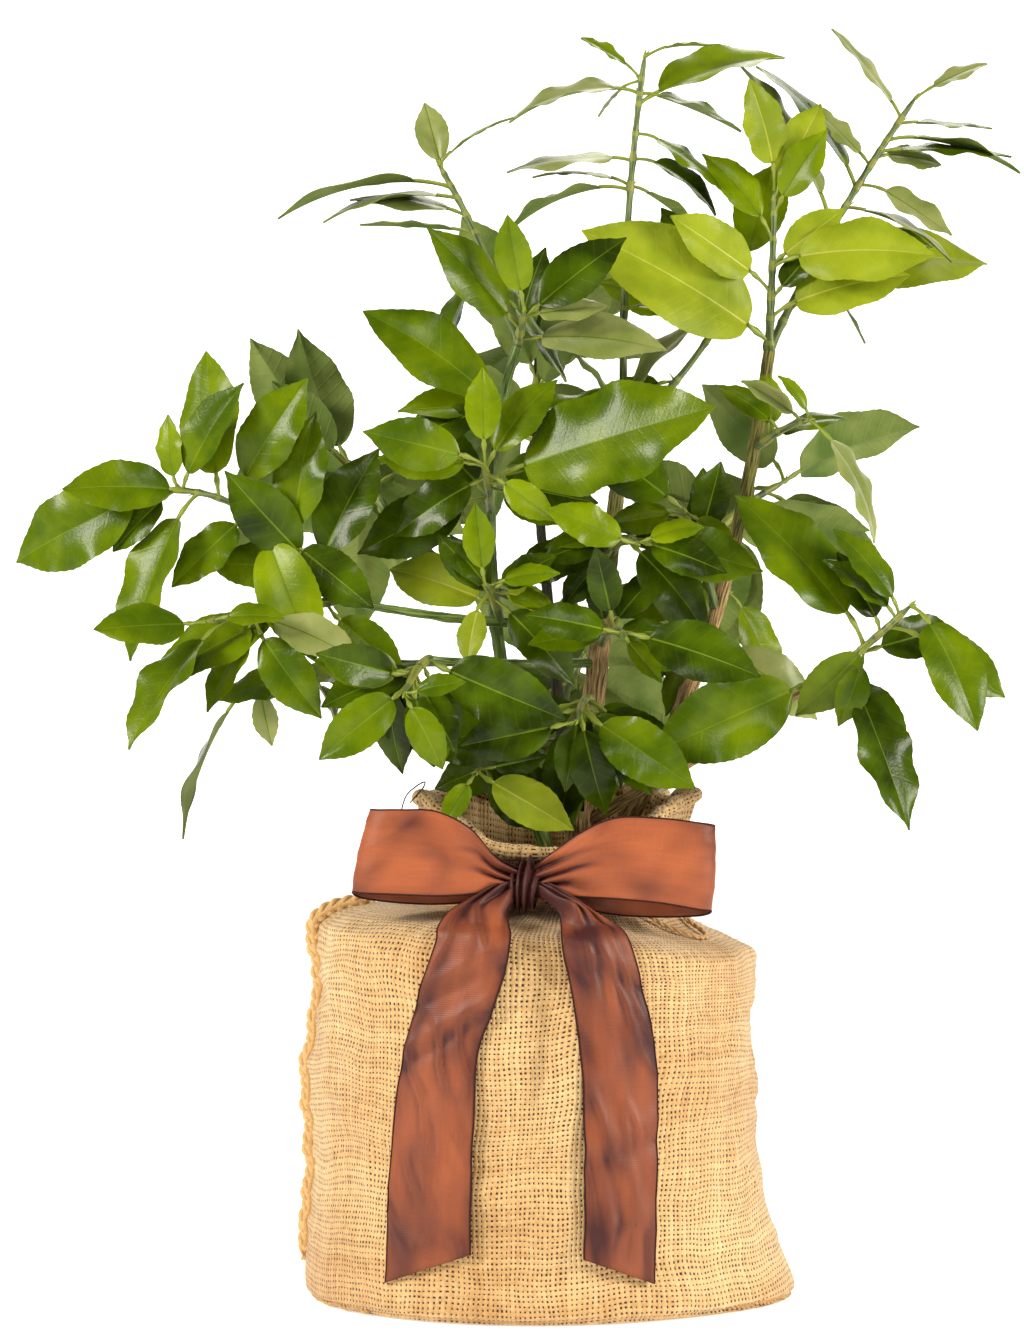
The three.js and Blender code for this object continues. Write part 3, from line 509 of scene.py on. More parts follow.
# %% Folds of the sack
SACK_COLUMNS = 232
SACK_ROWS = 128
PLEATS = ((19, 0.4), (31, 1.9), (47, 4.4))
NECK_PLEAT = 3.6
GATHER_FROM = 150
COLLAR_RUFFLE = 3.2
COLLAR_FRILL = 1.8
COLLAR_TUCK = 4.5
COLLAR_SHIFT = 2.0
BROAD_RIPPLE = 3.6
FINE_RIPPLE = 0.5
SAG_RIDGE = 2.4
FOLD_TURN = -1.53
FOLD_LEAN = 0.0012
FOLD_HEIGHT = 122
FOLD_TALL = 42
FOLD_DEPTH = 9.0
FOLD_LIP = 2.2
PINCH_HEIGHT = 152
HOLLOW_HEIGHT = 122


def soft_noise(x, y, z=0.0):
    """Smooth noise from -1 to 1 over arrays."""
    spots = np.broadcast(x, y, z)
    values = [noise.noise(Vector(spot)) for spot in spots]
    return np.array(values).reshape(spots.shape)


turns = 2 * np.pi * np.arange(SACK_COLUMNS) / SACK_COLUMNS
profile = smooth_through(sack_profile(turns), SACK_ROWS)
radius, height = profile[..., 0].copy(), profile[..., 1].copy()
turn_grid = np.broadcast_to(turns, radius.shape)
neck_low = NECK_HEIGHT - BAND_WIDTH / 2

# The neck's pleats and the collar's ruffle.
gather = np.clip((height - GATHER_FROM) / (neck_low - GATHER_FROM), 0, 1) ** 2
wave = sum(np.cos(count * turn_grid + start) for count, start in PLEATS) / len(PLEATS)
wander = soft_noise(np.cos(turn_grid) * 2, np.sin(turn_grid) * 2, height / 60)
pleat = NECK_PLEAT * gather * (0.6 * wave - 0.5 + 0.3 * wander)
flare = np.clip((height - NECK_HEIGHT) / (COLLAR_HEIGHT - NECK_HEIGHT), 0, 1)
frill = COLLAR_FRILL * np.cos(16 * turn_grid + 2.0)
ruffle = flare * (COLLAR_RUFFLE * np.cos(7 * turn_grid + 0.8) + frill + 1.0)
ruffle -= COLLAR_TUCK * flare * bulge(turn_grid, np.pi, 0.7)

# Broad ripples, fine ones and slack ridges on the sides.
ripple = BROAD_RIPPLE * soft_noise(np.cos(turn_grid) * 1.6, np.sin(turn_grid) * 1.6, height / 44)
ripple += FINE_RIPPLE * soft_noise(np.cos(turn_grid) * 3.2 + 7, np.sin(turn_grid) * 3.2, height / 11)
sag_level = height / 20 + 1.6 * np.cos(turn_grid)
sag = soft_noise(np.cos(turn_grid) * 2.2 + 3, np.sin(turn_grid) * 2.2, sag_level)
ripple += SAG_RIDGE * (1 - 2.4 * np.abs(sag)) ** 3 * np.clip(height / 60, 0.2, 1)

# The upright fold between the tails, a pinch at the left and a hollow at the right.
fold_turn = FOLD_TURN + FOLD_LEAN * (height - FOLD_HEIGHT)
crease = FOLD_DEPTH * bulge(turn_grid, fold_turn, 0.1) - FOLD_LIP * bulge(turn_grid, fold_turn + 0.14, 0.06)
crease *= np.exp(-(((height - FOLD_HEIGHT) / FOLD_TALL) ** 2))
pinch = 3.5 * bulge(turn_grid, np.pi, 0.35) * np.exp(-(((height - PINCH_HEIGHT) / 22) ** 2))
hollow = 2.0 * bulge(turn_grid, 0.0, 0.35) * np.exp(-(((height - HOLLOW_HEIGHT) / 20) ** 2))
print("deepest fold in mm:", round(float(crease.max()), 1))

# The cloth in front may not swell through the tails, so its ripples are capped there.
body = np.clip(height / 25, 0, 1) * np.clip((205 - height) / 30, 0, 1)
snug = 0.4 + 3.0 * np.cos(turn_grid) ** 4
radius += pleat + ruffle + np.minimum(body * (ripple - 1.2), snug) - crease - pinch - hollow
at_rim = np.linspace(0, 1, SACK_ROWS)[:, None] > 0.9
height += flare * (3.0 * np.cos(5 * turn_grid + 1.1) + 1.5 * np.cos(11 * turn_grid)) * at_rim
lift = np.clip((height - SHOULDER_HEIGHT) / (neck_low - SHOULDER_HEIGHT), 0, 1)
shift = NECK_SHIFT * lift
sack_grid = np.stack(
    [
        radius * np.cos(turn_grid) + shift + COLLAR_SHIFT * flare,
        radius * np.sin(turn_grid),
        np.maximum(height, 0.3),
    ],
    -1,
)
steps = np.linalg.norm(np.diff(sack_grid, axis=0), axis=2).mean(1)
up_cloth = np.concatenate([[0], np.cumsum(steps)])
round_cloth = np.arange(SACK_COLUMNS + 1) * 2 * np.pi * SACK_RADIUS / SACK_COLUMNS
sack_uv = np.stack(np.meshgrid(round_cloth, up_cloth), -1)
sack_part = grid_part(sack_grid, sack_uv, wrap=True)
sack = piece_of("sack_hessian", [sack_part], [HESSIAN])
apply_modifier(sack, "SOLIDIFY", "cloth", thickness=CLOTH_MM * MM, offset=-1)
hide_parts("sack")

# %% [markdown]
# ## Side seam
# The bag is sewn up its left side: the raw edges are rolled together and plaited over with
# thick jute, so the seam looks like a chain of V stitches. Three strands that cross in a flat
# plait, laid on the cloth from foot to shoulder, give that look at once, and a soft core fills
# them. A thinner twine shows at both corners of the foot, and the collar's raw edge is rolled.

# %% Side seam
SEAM_TURN = math.pi + 0.04
SEAM_FOOT = 14
SEAM_INWARD = 77
SEAM_PROUD = 1.0
CORNER_PROUD = 2.4
CORNER_TALL = 9
SEAM_CORE = 2.6
SEAM_TAPER = 9
PLAIT_STRANDS = 3
PLAIT_PITCH = 17.0
PLAIT_WIDE = 2.7
PLAIT_DEEP = 1.2
STRAND_RADIUS = 1.5

skin = sack_grid[:, round(SEAM_TURN / (2 * math.pi) * SACK_COLUMNS)]
from_middle = np.hypot(skin[:, 0], skin[:, 1])
skin = skin[(skin[:, 2] > SEAM_FOOT) & (from_middle > SEAM_INWARD)]
climb = np.gradient(np.stack([np.hypot(skin[:, 0], skin[:, 1]), skin[:, 2]], -1), axis=0)
climb /= np.linalg.norm(climb, axis=1)[:, None]
outward = np.array([math.cos(SEAM_TURN), math.sin(SEAM_TURN), 0.0])
proud = SEAM_PROUD + CORNER_PROUD * np.exp(-(((skin[:, 2] - SHOULDER_HEIGHT) / CORNER_TALL) ** 2))
skin = skin + proud[:, None] * (climb[:, 1:] * outward - climb[:, :1] * np.array([0, 0, 1]))
seam_line = smooth_through(skin, 420)
seam_run = run_of(seam_line)
ends = np.clip(np.minimum(seam_run, seam_run[-1] - seam_run) / SEAM_TAPER, 0.3, 1)
frames = tube_rings(seam_line, np.full(len(seam_line), 1.0), 4)
seam_side, seam_out = frames[:, 0] - seam_line, frames[:, 1] - seam_line
uneven = 1 + 0.2 * soft_noise(seam_run / 11, 0.0)
seam_parts = [loft_part(tube_rings(seam_line[::3], (SEAM_CORE * ends)[::3], 12))]
for strand in range(PLAIT_STRANDS):
    phase = 2 * np.pi * (seam_run / PLAIT_PITCH + strand / PLAIT_STRANDS)
    wide = (PLAIT_WIDE * uneven * ends * np.cos(phase))[:, None] * seam_out
    deep = (PLAIT_DEEP * np.sin(2 * phase))[:, None] * seam_side
    seam_parts.append(loft_part(tube_rings(seam_line + wide + deep, STRAND_RADIUS * ends * uneven, 8)))
piece_of("side_seam_plait", seam_parts, [SEAM_JUTE])
print("seam in mm:", round(seam_run[-1]))

# %% Rolled rim and foot twine
RIM_ROLL = 4.0
RIM_SINK = 2.2
FOOT_CORNERS = ((-0.62, -0.2), (3.45, 3.9))
FOOT_LAY = 7.0
FOOT_PLY = 0.7

rim_line = sack_grid[-1] - np.stack([RIM_SINK * np.cos(turns), RIM_SINK * np.sin(turns), 0 * turns + 2.5], -1)
rim_line = np.concatenate([rim_line, rim_line[:2]])
rim_radii = RIM_ROLL * (1 + 0.4 * soft_noise(run_of(rim_line) / 12, 4.0))
piece_of("collar_rolled_rim", [loft_part(tube_rings(rim_line, rim_radii, 12))], [HESSIAN])
foot_parts = []
for start, end in FOOT_CORNERS:
    foot_turns = np.linspace(start, end, 90)
    foot_rim = sack_side(foot_turns, 0) - 2.0
    hem = np.stack([foot_rim * np.cos(foot_turns), foot_rim * np.sin(foot_turns), 2.4 + 0 * foot_rim], -1)
    hem[:, 2] += 0.5 * np.sin(40 * foot_turns)
    foot_parts += plies_along(hem, FOOT_LAY, FOOT_PLY, FOOT_PLY, 6)
piece_of("foot_seam_twine", foot_parts, [JUTE])
print("rim in mm:", round(run_of(rim_line)[-1]), "foot corners:", len(FOOT_CORNERS))

# %% [markdown]
# ## Stray fibres
# Hessian sheds short hairs, most of all at its raw edges. Each is a thin tapering strand that
# leaves the cloth at a chance angle, and all are joined into one piece.

# %% Stray fibres
FIBRE_COUNT = 900
FIBRE_RADIUS = 0.11
EDGE_SHARE = 0.3
EDGE_RISE = 1.2
rng = np.random.default_rng(7)


def fibre_part(root, out, length):
    """One hair: a thin tapering strand with a chance bend."""
    bend = rng.normal(0, 0.45, 3)
    line = np.array([root + out * length * s + bend * length * s * s for s in (0, 0.35, 0.7, 1)])
    line[:, 2] = np.maximum(line[:, 2], 0.5 + 0.1 * np.arange(4))
    return loft_part(tube_rings(line, FIBRE_RADIUS * np.array([1, 0.9, 0.7, 0.3]), 4))


fibres = []
for _ in range(FIBRE_COUNT):
    at_edge = rng.random() < EDGE_SHARE
    column = rng.integers(SACK_COLUMNS)
    row = SACK_ROWS - 1 if at_edge else rng.integers(18, SACK_ROWS - 2)
    root = sack_grid[row, column]
    out = np.array([math.cos(turns[column]), math.sin(turns[column]), 0.0])
    out = unit(out + rng.normal(0, 0.6, 3) + ([0, 0, EDGE_RISE] if at_edge else [0, 0, 0]))
    fibres.append(fibre_part(root - out * 0.3, out, rng.uniform(1.5, 4.5 if at_edge else 3.2)))
piece_of("hessian_stray_fibres", fibres, [SEAM_JUTE])
print("fibres:", len(fibres))

# %% [markdown]
# ## Pot and compost
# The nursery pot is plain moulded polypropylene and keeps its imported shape. Only a look down
# through the collar shows the compost. Its top is a grid with noise and scattered crumbs,
# because a flat disc would give it away.

# %% Pot
PLASTIC_GRAIN_MM = 1.11
# Moulded polypropylene takes its tool's fine texture, which spreads its gloss.
plastic = grainy_material(
    "moulded polypropylene", "#1c1e20", "#2b2e31", PLASTIC_GRAIN_MM, 2.0, 0.2, 0.1, Roughness=0.5, IOR=1.49
)
pot_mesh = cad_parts["pot"].data
pot_mesh.materials.clear()
pot_mesh.materials.append(plastic)
print("pot triangles:", len(pot_mesh.polygons))

# %% Compost
COMPOST_TOP = 152
COMPOST_RADIUS = 95
COMPOST_SINK = 1.8
CLOD_MM = 3.85
CRUMBS = 260
CRUMB_SPREAD = 38
# Moist peat is near black in its hollows and has no gloss.
earth = grainy_material(
    "moist peat compost", "#120b06", "#54402c", CLOD_MM, 6.0, 0.9, 1.5, Roughness=0.95, IOR=1.33
)
compost_turns = 2 * np.pi * np.arange(64) / 64


def compost_ring(share, level):
    """A level ring of the compost, at a share of its radius."""
    rim = COMPOST_RADIUS * share
    return np.stack([rim * np.cos(compost_turns), rim * np.sin(compost_turns), 0 * compost_turns + level], -1)


low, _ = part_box("compost")
rings = [
    compost_ring(share, level)
    for share, level in ((0.9, low.z / MM), (1.0, COMPOST_TOP - 12), (1.0, COMPOST_TOP - 3))
]
for share in np.linspace(0.985, 0.02, 26):
    ring = compost_ring(share, COMPOST_TOP - COMPOST_SINK)
    x, y = ring[:, 0], ring[:, 1]
    ring[:, 2] += 1.6 * soft_noise(x / 9, y / 9, 3.0) + 0.7 * soft_noise(x / 3.5, y / 3.5, 8.0)
    rings.append(ring)
compost_parts = [loft_part(rings)]
for _ in range(CRUMBS):
    x, y = rng.normal(0, CRUMB_SPREAD, 2)
    size = rng.uniform(0.8, 2.4)
    if math.hypot(x, y) > COMPOST_RADIUS - 4:
        continue
    spot = np.array([x, y, COMPOST_TOP - 1.2])
    crumb = [spot + np.array([0, 0, (k - 1.5) * size * 0.6]) for k in range(4)]
    crumb_radii = size * np.array([0.5, 1.0, 0.9, 0.4])
    compost_parts.append(loft_part(tube_rings(crumb, crumb_radii, 6, side=(1, 0, 0))))
compost = piece_of("compost_top", compost_parts, [earth], sharp=50)
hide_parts("compost")
print("crumbs:", len(compost_parts) - 1)

# %% [markdown]
# ## Shot taffeta
# Taffeta is a crisp plain weave. This one is shot, with a rust weft over a plum warp, so it
# looks rust where it lies flat and plum in the folds. The colour here does not follow where the
# viewer stands, so the plum is painted shade: it comes from an attribute that the ribbon mesh
# carries, how deep in a fold each point lies and how much it lies in shade, and from broad
# diagonal clouds that stand for folds the mesh lacks. Fine ribs across the ribbon and streaks
# along it give the silk its tooth. The wired edges are bound in dark thread.

# %% Taffeta and binding
RIB_MM = 1.1
STREAK_WIDE_MM = 1.4
STREAK_LONG_MM = 16
CLOUD_WIDE_MM = 26
CLOUD_LONG_MM = 80
CLOUD_TURN = 0.9
WIND_MM = 0.714
# Filament silk is smooth, and its weave breaks the gloss into a satin one.
TAFFETA, taffeta_shader = new_material(
    "shot taffeta", Roughness=0.44, IOR=1.53, Sheen_Weight=0.05, Sheen_Roughness=0.4,
    Sheen_Tint="#ffb48a", Specular_IOR_Level=0.2,
)
cloth_uv = add_node(TAFFETA, "UVMap", uv_map=SURFACE)
long_streak = (1 / STREAK_WIDE_MM, 1 / STREAK_LONG_MM, 1)
stretch = add_node(TAFFETA, "VectorMath", [cloth_uv, long_streak], operation="MULTIPLY")
streaks = add_node(TAFFETA, "TexNoise", {"Vector": stretch, "Scale": 1.0, "Detail": 3.0})
# Broad diagonal clouds of plum are painted shade, for folds that the mesh lacks.
long_cloud = (1 / CLOUD_WIDE_MM, 1 / CLOUD_LONG_MM, 1)
clouds_at = add_node(TAFFETA, "Mapping", {0: cloth_uv, 2: (0, 0, CLOUD_TURN), 3: long_cloud})
clouds = add_node(TAFFETA, "TexNoise", {"Vector": clouds_at, "Scale": 1.0, "Detail": 2.0})
# The fold attribute is painted shade: it darkens the silk towards plum in folds, creases, low places and
# shaded strips.
fold = add_node(TAFFETA, "Attribute", attribute_name="fold").outputs["Fac"]
cloudy = add_node(TAFFETA, "Math", [clouds, 2.2, -0.98], operation="MULTIPLY_ADD")
plum_as_painted_shade = add_node(TAFFETA, "Math", [fold, cloudy], operation="ADD", use_clamp=True)
rust = add_node(TAFFETA, "Mix", {0: streaks, 6: "#944e31", 7: "#aa5c36"}, data_type="RGBA")
shot_with_painted_shade = add_node(TAFFETA, "Mix", {0: plum_as_painted_shade, 6: rust, 7: "#42201f"}, data_type="RGBA")
along_ribbon = add_node(TAFFETA, "SeparateXYZ", [cloth_uv]).outputs["Y"]
rib = add_node(TAFFETA, "Math", [along_ribbon, 2 * math.pi / RIB_MM], operation="MULTIPLY")
ribs = add_node(TAFFETA, "Math", [rib], operation="SINE")
tooth = add_node(TAFFETA, "Math", [ribs, 0.3, streaks], operation="MULTIPLY_ADD")
silk = add_node(TAFFETA, "Bump", {"Height": tooth, "Strength": 0.3, "Distance": 0.2 * MM})
dress(TAFFETA, taffeta_shader, shot_with_painted_shade, silk)
# Wound thread is dull, with a faint change of tone from wind to wind.
BINDING = grainy_material(
    "dark binding thread", "#1e0f0d", "#432622", WIND_MM, 2.0, 0.0, 0.1,
    Roughness=0.8, Specular_IOR_Level=0.1,
)
print("ribs a centimetre:", round(10 / RIB_MM))

# %% [markdown]
# ## Ribbon strips
# Every part of the bow is one 38 mm ribbon, so one function makes them all. It is given both
# edges of the ribbon, place by place, and skins a fine grid between them. Where the edges come
# closer than 38 mm the spare cloth has to go somewhere, so it stands up in pleats along the
# ribbon, and the pleats' valleys are marked as folds. A puff is a swelling, given by its place
# along and across the ribbon, its size and its reach. The fold mark is painted shade: it
# darkens concave bends, low places and creases, and a strip's shade darkens it all over. Each
# band of painted shade is given by its place, its reach, its depth and its slant.

# %% Folds of a strip
RIBBON_WIDTH = 38
CREASE_SLANT = 1.1


def strip_folds(run, centred, width, pleats, seed, bow, rough, puffs):
    """How far each place of a strip stands out, and where its slanting creases run."""
    spare = np.clip(RIBBON_WIDTH - width, 0, None)
    drift = soft_noise(run / 28 + seed, centred * 1.1, seed * 3.7)
    pleat = np.cos(np.pi * pleats * (centred + 0.5 * drift) + seed)
    lift = (0.3 * spare / pleats)[:, None] * pleat * (1 - 0.4 * centred**4)
    slack = rough * soft_noise(run / 17 + 5 * seed, centred * 1.6 + run / 40, seed)
    slack += 0.25 * rough * soft_noise(run / 7 + 9 * seed, centred * 3 + run / 14, seed)
    belly = bow * (1 - centred**2)
    slanted = soft_noise(run / 34 + CREASE_SLANT * centred + seed, 0.8 * centred - run / 80, 4 * seed)
    line = np.clip(1 - 2.5 * np.abs(slanted), 0, 1) ** 2
    creases = 1.1 * rough * line
    height = lift + slack + belly + creases
    for at, aside, size, long, wide, slant in puffs:
        away = (run - at - slant * centred) / long
        height += size * np.exp(-(away**2) - ((centred - aside) / wide) ** 2)
    return height, line


# %% Strip helper
RIBBON_MM = 0.45
STRIP_COLUMNS = 33
EDGE_RADIUS = 0.48
EDGE_SIDES = 6
# How much a crease line darkens towards plum, as painted shade.
CREASE_PAINTED_SHADE = 0.22
ribbon_edges = []


def strip_piece(
    name, node, low, high, count, pleats, seed,
    bow=1.0, rough=0.8, shade=0.0, puffs=(), shade_bands=(),
):
    """A ribbon between two edges that are given place by place, in millimetres."""
    low, high = smooth_through(low, count), smooth_through(high, count)
    share = np.linspace(0, 1, STRIP_COLUMNS)
    grid = low[:, None] * (1 - share[None, :, None]) + high[:, None] * share[None, :, None]
    across = high - low
    out = np.cross(across, np.gradient((low + high) / 2, axis=0))
    out /= np.linalg.norm(out, axis=1)[:, None]
    run = run_of((low + high) / 2)
    centred = 2 * share[None, :] - 1
    width = np.linalg.norm(across, axis=1)
    height, line = strip_folds(run[:, None], centred, width, pleats, seed, bow, rough, puffs)
    grid = grid + height[..., None] * out[:, None]
    uv = np.stack(np.broadcast_arrays(share[None, :] * RIBBON_WIDTH, run[:, None]), -1)
    strip = piece_of(name, [grid_part(grid[:, ::-1], uv[:, ::-1])], [TAFFETA])
    # Painted shade, carried by the fold attribute: the strip's own shade, concave bends, low places, crease
    # lines and bands of shade.
    bend = np.gradient(np.gradient(height, axis=1), axis=1)
    dark = shade + np.clip(bend * 1.7, 0, 0.7) + np.clip(-height / 3.0, 0, 0.35) + CREASE_PAINTED_SHADE * line
    for at, long, depth, slant in shade_bands:
        dark = dark + depth * np.exp(-(((run[:, None] - at - slant * centred) / long) ** 2))
    marks = strip.data.attributes.new("fold", "FLOAT", "POINT")
    marks.data.foreach_set("value", dark[:, ::-1].astype(np.float32).ravel())
    apply_modifier(strip, "SOLIDIFY", "cloth", thickness=RIBBON_MM * MM, offset=0)
    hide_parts(node)
    for edge in (grid[:, 0], grid[:, -1]):
        ribbon_edges.append(loft_part(tube_rings(edge, np.full(count, EDGE_RADIUS), EDGE_SIDES)))
    print(name, "length in mm:", round(run[-1]))


# %% [markdown]
# ## The bow's loops
# Each loop leaves the knot pinched and painted dark as painted shade, opens to the full width,
# turns at its end and comes back behind, a little lower, so that its inside, darkened as
# painted shade, shows under the front. The lists give the lower and the upper edge at the same
# places, from the knot round and back.

# %% Loops
LOOP_LEFT_LOW = [
    (-4, -80, 204), (-15, -85, 206), (-27, -88, 204), (-44, -89.5, 203), (-66, -88, 203.6),
    (-80, -85, 204), (-85.6, -79, 204.2), (-81, -72, 201), (-62, -69, 198.5), (-42, -69, 198),
    (-24, -70, 200), (-8, -72, 204),
]
LOOP_LEFT_HIGH = [
    (-4, -80, 215), (-17, -85, 222), (-29, -88, 235), (-45, -89.5, 243.2), (-61, -88, 244),
    (-72, -85.5, 243.9), (-77, -80, 243.6), (-73, -73, 241), (-58, -69, 238), (-40, -69, 234),
    (-24, -70, 226), (-8, -72, 214),
]
LOOP_RIGHT_LOW = [
    (0, -80, 204.5), (10, -85, 203.8), (24, -88, 202.5), (42, -89.5, 201.5), (62, -88, 199.5),
    (80, -85, 196.3), (86.5, -79, 195), (81, -72, 192.5), (60, -69, 191.8), (40, -69, 193),
    (22, -70, 197), (4, -72, 203),
]
LOOP_RIGHT_HIGH = [
    (0, -80, 214.5), (9, -85, 222), (23, -88, 232.5), (40, -89.5, 240), (61, -88, 240),
    (81, -85.5, 237.6), (88, -80, 236), (82, -73, 233), (60, -69, 230), (40, -69, 228),
    (22, -70, 222), (4, -72, 213),
]
# Painted shade at the knot, on the loop's way back and in bands across it; a shade a little below none keeps
# the loops light.
LOOP_SHADE_BANDS = ((0, 13, 0.85, 0), (180, 40, 0.7, 0), (46, 8, 0.2, 12), (68, 6, 0.16, -12), (97, 8, 0.3, 5))
strip_piece(
    "bow_loop_left_taffeta", "bow_loop_left", LOOP_LEFT_LOW, LOOP_LEFT_HIGH, 120, 3, 1.3,
    rough=0.45, shade=-0.05, shade_bands=LOOP_SHADE_BANDS,
)
strip_piece(
    "bow_loop_right_taffeta", "bow_loop_right", LOOP_RIGHT_HIGH, LOOP_RIGHT_LOW, 120, 3, 2.1,
    rough=0.45, shade=-0.05, shade_bands=LOOP_SHADE_BANDS,
)

# %% [markdown]
# ## The tails
# Both tails fall from the knot, bridge the shoulder and lie on the front of the sack, with
# their ends cut on the slant. Below the shoulder each edge is given by its distance from the
# middle and its height, and a function lays it on the cloth.

# %% Tails
TAIL_CLEAR = 3.0


def on_sack(places):
    """Places in front of the sack's cloth, from their distance aside and their height."""
    laid = []
    for x, z in places:
        turn = -math.acos(max(-1.0, min(1.0, x / SACK_RADIUS)))
        reach = float(sack_side(np.asarray(turn), z)) + TAIL_CLEAR
        laid.append((x, -math.sqrt(max(reach**2 - x**2, 0)), z))
    return laid


TAIL_LEFT_OUT = [(-14, -82, 208), (-24, -88, 205), (-37, -93, 197), (-44, -99.5, 189)]
TAIL_LEFT_OUT += on_sack([(-45.4, 181), (-53.4, 155), (-59.5, 131), (-63.8, 108), (-67.6, 60), (-69.5, 18)])
TAIL_LEFT_IN = [(-5, -82, 204), (-8, -88, 202), (-11.5, -95, 196), (-10.5, -102.5, 189)]
TAIL_LEFT_IN += on_sack([(-9.9, 181), (-16.1, 155), (-25.1, 131), (-26.5, 108), (-28.4, 60), (-28.8, 34)])
TAIL_RIGHT_IN = [(1, -82, 204), (6, -88, 202), (13, -95, 196), (14.5, -102, 189)]
TAIL_RIGHT_IN += on_sack([(14.8, 181), (19.8, 155), (23.1, 131), (24.5, 108), (25.5, 60), (25, 32)])
TAIL_RIGHT_OUT = [(8, -82, 208), (17, -88, 204), (28, -93, 197), (41, -99.5, 189)]
TAIL_RIGHT_OUT += on_sack([(47, 181), (53.8, 155), (58.6, 131), (60, 108), (59.5, 60), (58.6, 19)])
LEFT_PUFFS = (
    (22, -0.3, 2.6, 8, 0.35, 0), (54, 0, 1.4, 6, 2, 12), (63, 0, -1.0, 5, 2, 12),
    (82, 0, 1.5, 6, 2, 14), (92, 0, -1.1, 5, 2, 14), (150, 0, 1.3, 8, 2, 10),
)
RIGHT_PUFFS = (
    (27, 0.2, 4.6, 7, 0.5, 0), (40, 0.4, -1.8, 4, 0.5, 0), (52, 0, 1.3, 6, 2, -9), (61, 0, -1.0, 5, 2, -9),
    (98, 0, 1.3, 8, 2, 16), (138, 0, 1.3, 6, 2, 6), (147, 0, -1.0, 5, 2, 6),
)
# Painted shade under the knot and in slanting bands down each tail; each tail's shade darkens it all over,
# the right one more.
LEFT_TAIL_SHADE_BANDS = ((0, 18, 0.7, 0), (62, 9, 0.14, 12), (91, 10, 0.12, 14))
RIGHT_TAIL_SHADE_BANDS = ((0, 17, 0.8, 0), (41, 5, 0.35, 4), (61, 10, 0.18, -9), (105, 12, 0.12, 16), (146, 12, 0.2, 6))
strip_piece(
    "ribbon_tail_left_taffeta", "ribbon_tail_left", TAIL_LEFT_IN, TAIL_LEFT_OUT, 130, 3, 4.2,
    bow=2.0, rough=0.9, puffs=LEFT_PUFFS, shade=0.3, shade_bands=LEFT_TAIL_SHADE_BANDS,
)
strip_piece(
    "ribbon_tail_right_taffeta", "ribbon_tail_right", TAIL_RIGHT_OUT, TAIL_RIGHT_IN, 130, 3, 6.4,
    bow=2.0, rough=0.9, shade=0.36, puffs=RIGHT_PUFFS, shade_bands=RIGHT_TAIL_SHADE_BANDS,
)

# %% [markdown]
# ## Neck band and knot
# The same ribbon, bunched to 15 mm, ties the neck, and a turn of it makes the knot. The band is
# a closed ring of the bunched section, darker in its pleats' valleys as painted shade. The knot
# is a short strip that comes over the front from the top and tucks in below, drawn a little to
# the left, with tight pleats, and is painted dark all over as painted shade.

# %% Neck band
BAND_COLUMNS = 26
BAND_TURNS = 180
BAND_PLEATS = 4
BAND_PROUD = 2.6
band_turns = 2 * np.pi * np.arange(BAND_TURNS) / BAND_TURNS
band_share = np.linspace(-1, 1, BAND_COLUMNS)
band_turn_grid, band_share_grid = np.meshgrid(band_turns, band_share)
band_drift = soft_noise(2.5 * np.cos(band_turn_grid), 2.5 * np.sin(band_turn_grid), band_share_grid)
band_wave = np.cos(np.pi * BAND_PLEATS * (band_share_grid + 0.12 * band_drift))
band_reach = NECK_RADIUS + BAND_PROUD + 1.5 * band_wave - 0.8 * band_share_grid**2
band_grid = np.stack(
    [
        NECK_SHIFT + band_reach * np.cos(band_turn_grid),
        band_reach * np.sin(band_turn_grid),
        NECK_HEIGHT + (BAND_WIDTH / 2 - 0.6) * band_share_grid + 0.8 * band_drift,
    ],
    -1,
)
band_round = np.arange(BAND_TURNS + 1) * 2 * np.pi * NECK_RADIUS / BAND_TURNS
band_uv = np.stack(np.meshgrid(band_round, np.linspace(0, RIBBON_WIDTH, BAND_COLUMNS)), -1)
band = piece_of("ribbon_band_taffeta", [grid_part(band_grid, band_uv, wrap=True)], [TAFFETA])
# Painted shade in the band's pleat valleys, carried by the fold attribute.
band_painted_shade = band.data.attributes.new("fold", "FLOAT", "POINT")
band_painted_shade.data.foreach_set("value", np.clip(0.35 - 0.4 * band_wave, 0, 0.8).astype(np.float32).ravel())
apply_modifier(band, "SOLIDIFY", "cloth", thickness=RIBBON_MM * MM, offset=0)
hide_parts("ribbon_band")
print("band round in mm:", round(band_round[-1]))

# %% Knot
KNOT_LEFT = [
    (-6, -66, 211), (-6.5, -71, 215.5), (-8, -77, 216), (-10, -83, 211.5), (-11, -85.5, 206),
    (-11, -83.5, 200.5), (-10, -77, 197.5), (-9, -69, 198.5), (-9, -66, 201),
]
KNOT_RIGHT = [
    (5.5, -66, 211.5), (6, -71, 216.5), (6, -77, 217.5), (4.5, -83.5, 213), (2.5, -86, 207),
    (1, -83.5, 201), (1, -77, 197.5), (2, -69, 198.5), (3, -66, 201),
]
# The knot is painted dark all over as painted shade.
strip_piece(
    "bow_knot_taffeta", "bow_knot", KNOT_RIGHT, KNOT_LEFT, 60, 3, 3.3,
    bow=1.6, shade=1.1,
)

# %% Bound edges
LOOSE_THREAD = [
    (-63, -80, 240), (-60, -79, 250), (-55, -78, 255), (-51, -77, 257), (-52, -76, 254), (-58, -75, 247),
]
THREAD_RADIUS = 0.38
loose = smooth_through(LOOSE_THREAD, 40)
ribbon_edges.append(loft_part(tube_rings(loose, np.full(len(loose), THREAD_RADIUS), EDGE_SIDES)))
piece_of("bow_bound_edges", ribbon_edges, [BINDING])
print("bound edges:", len(ribbon_edges))
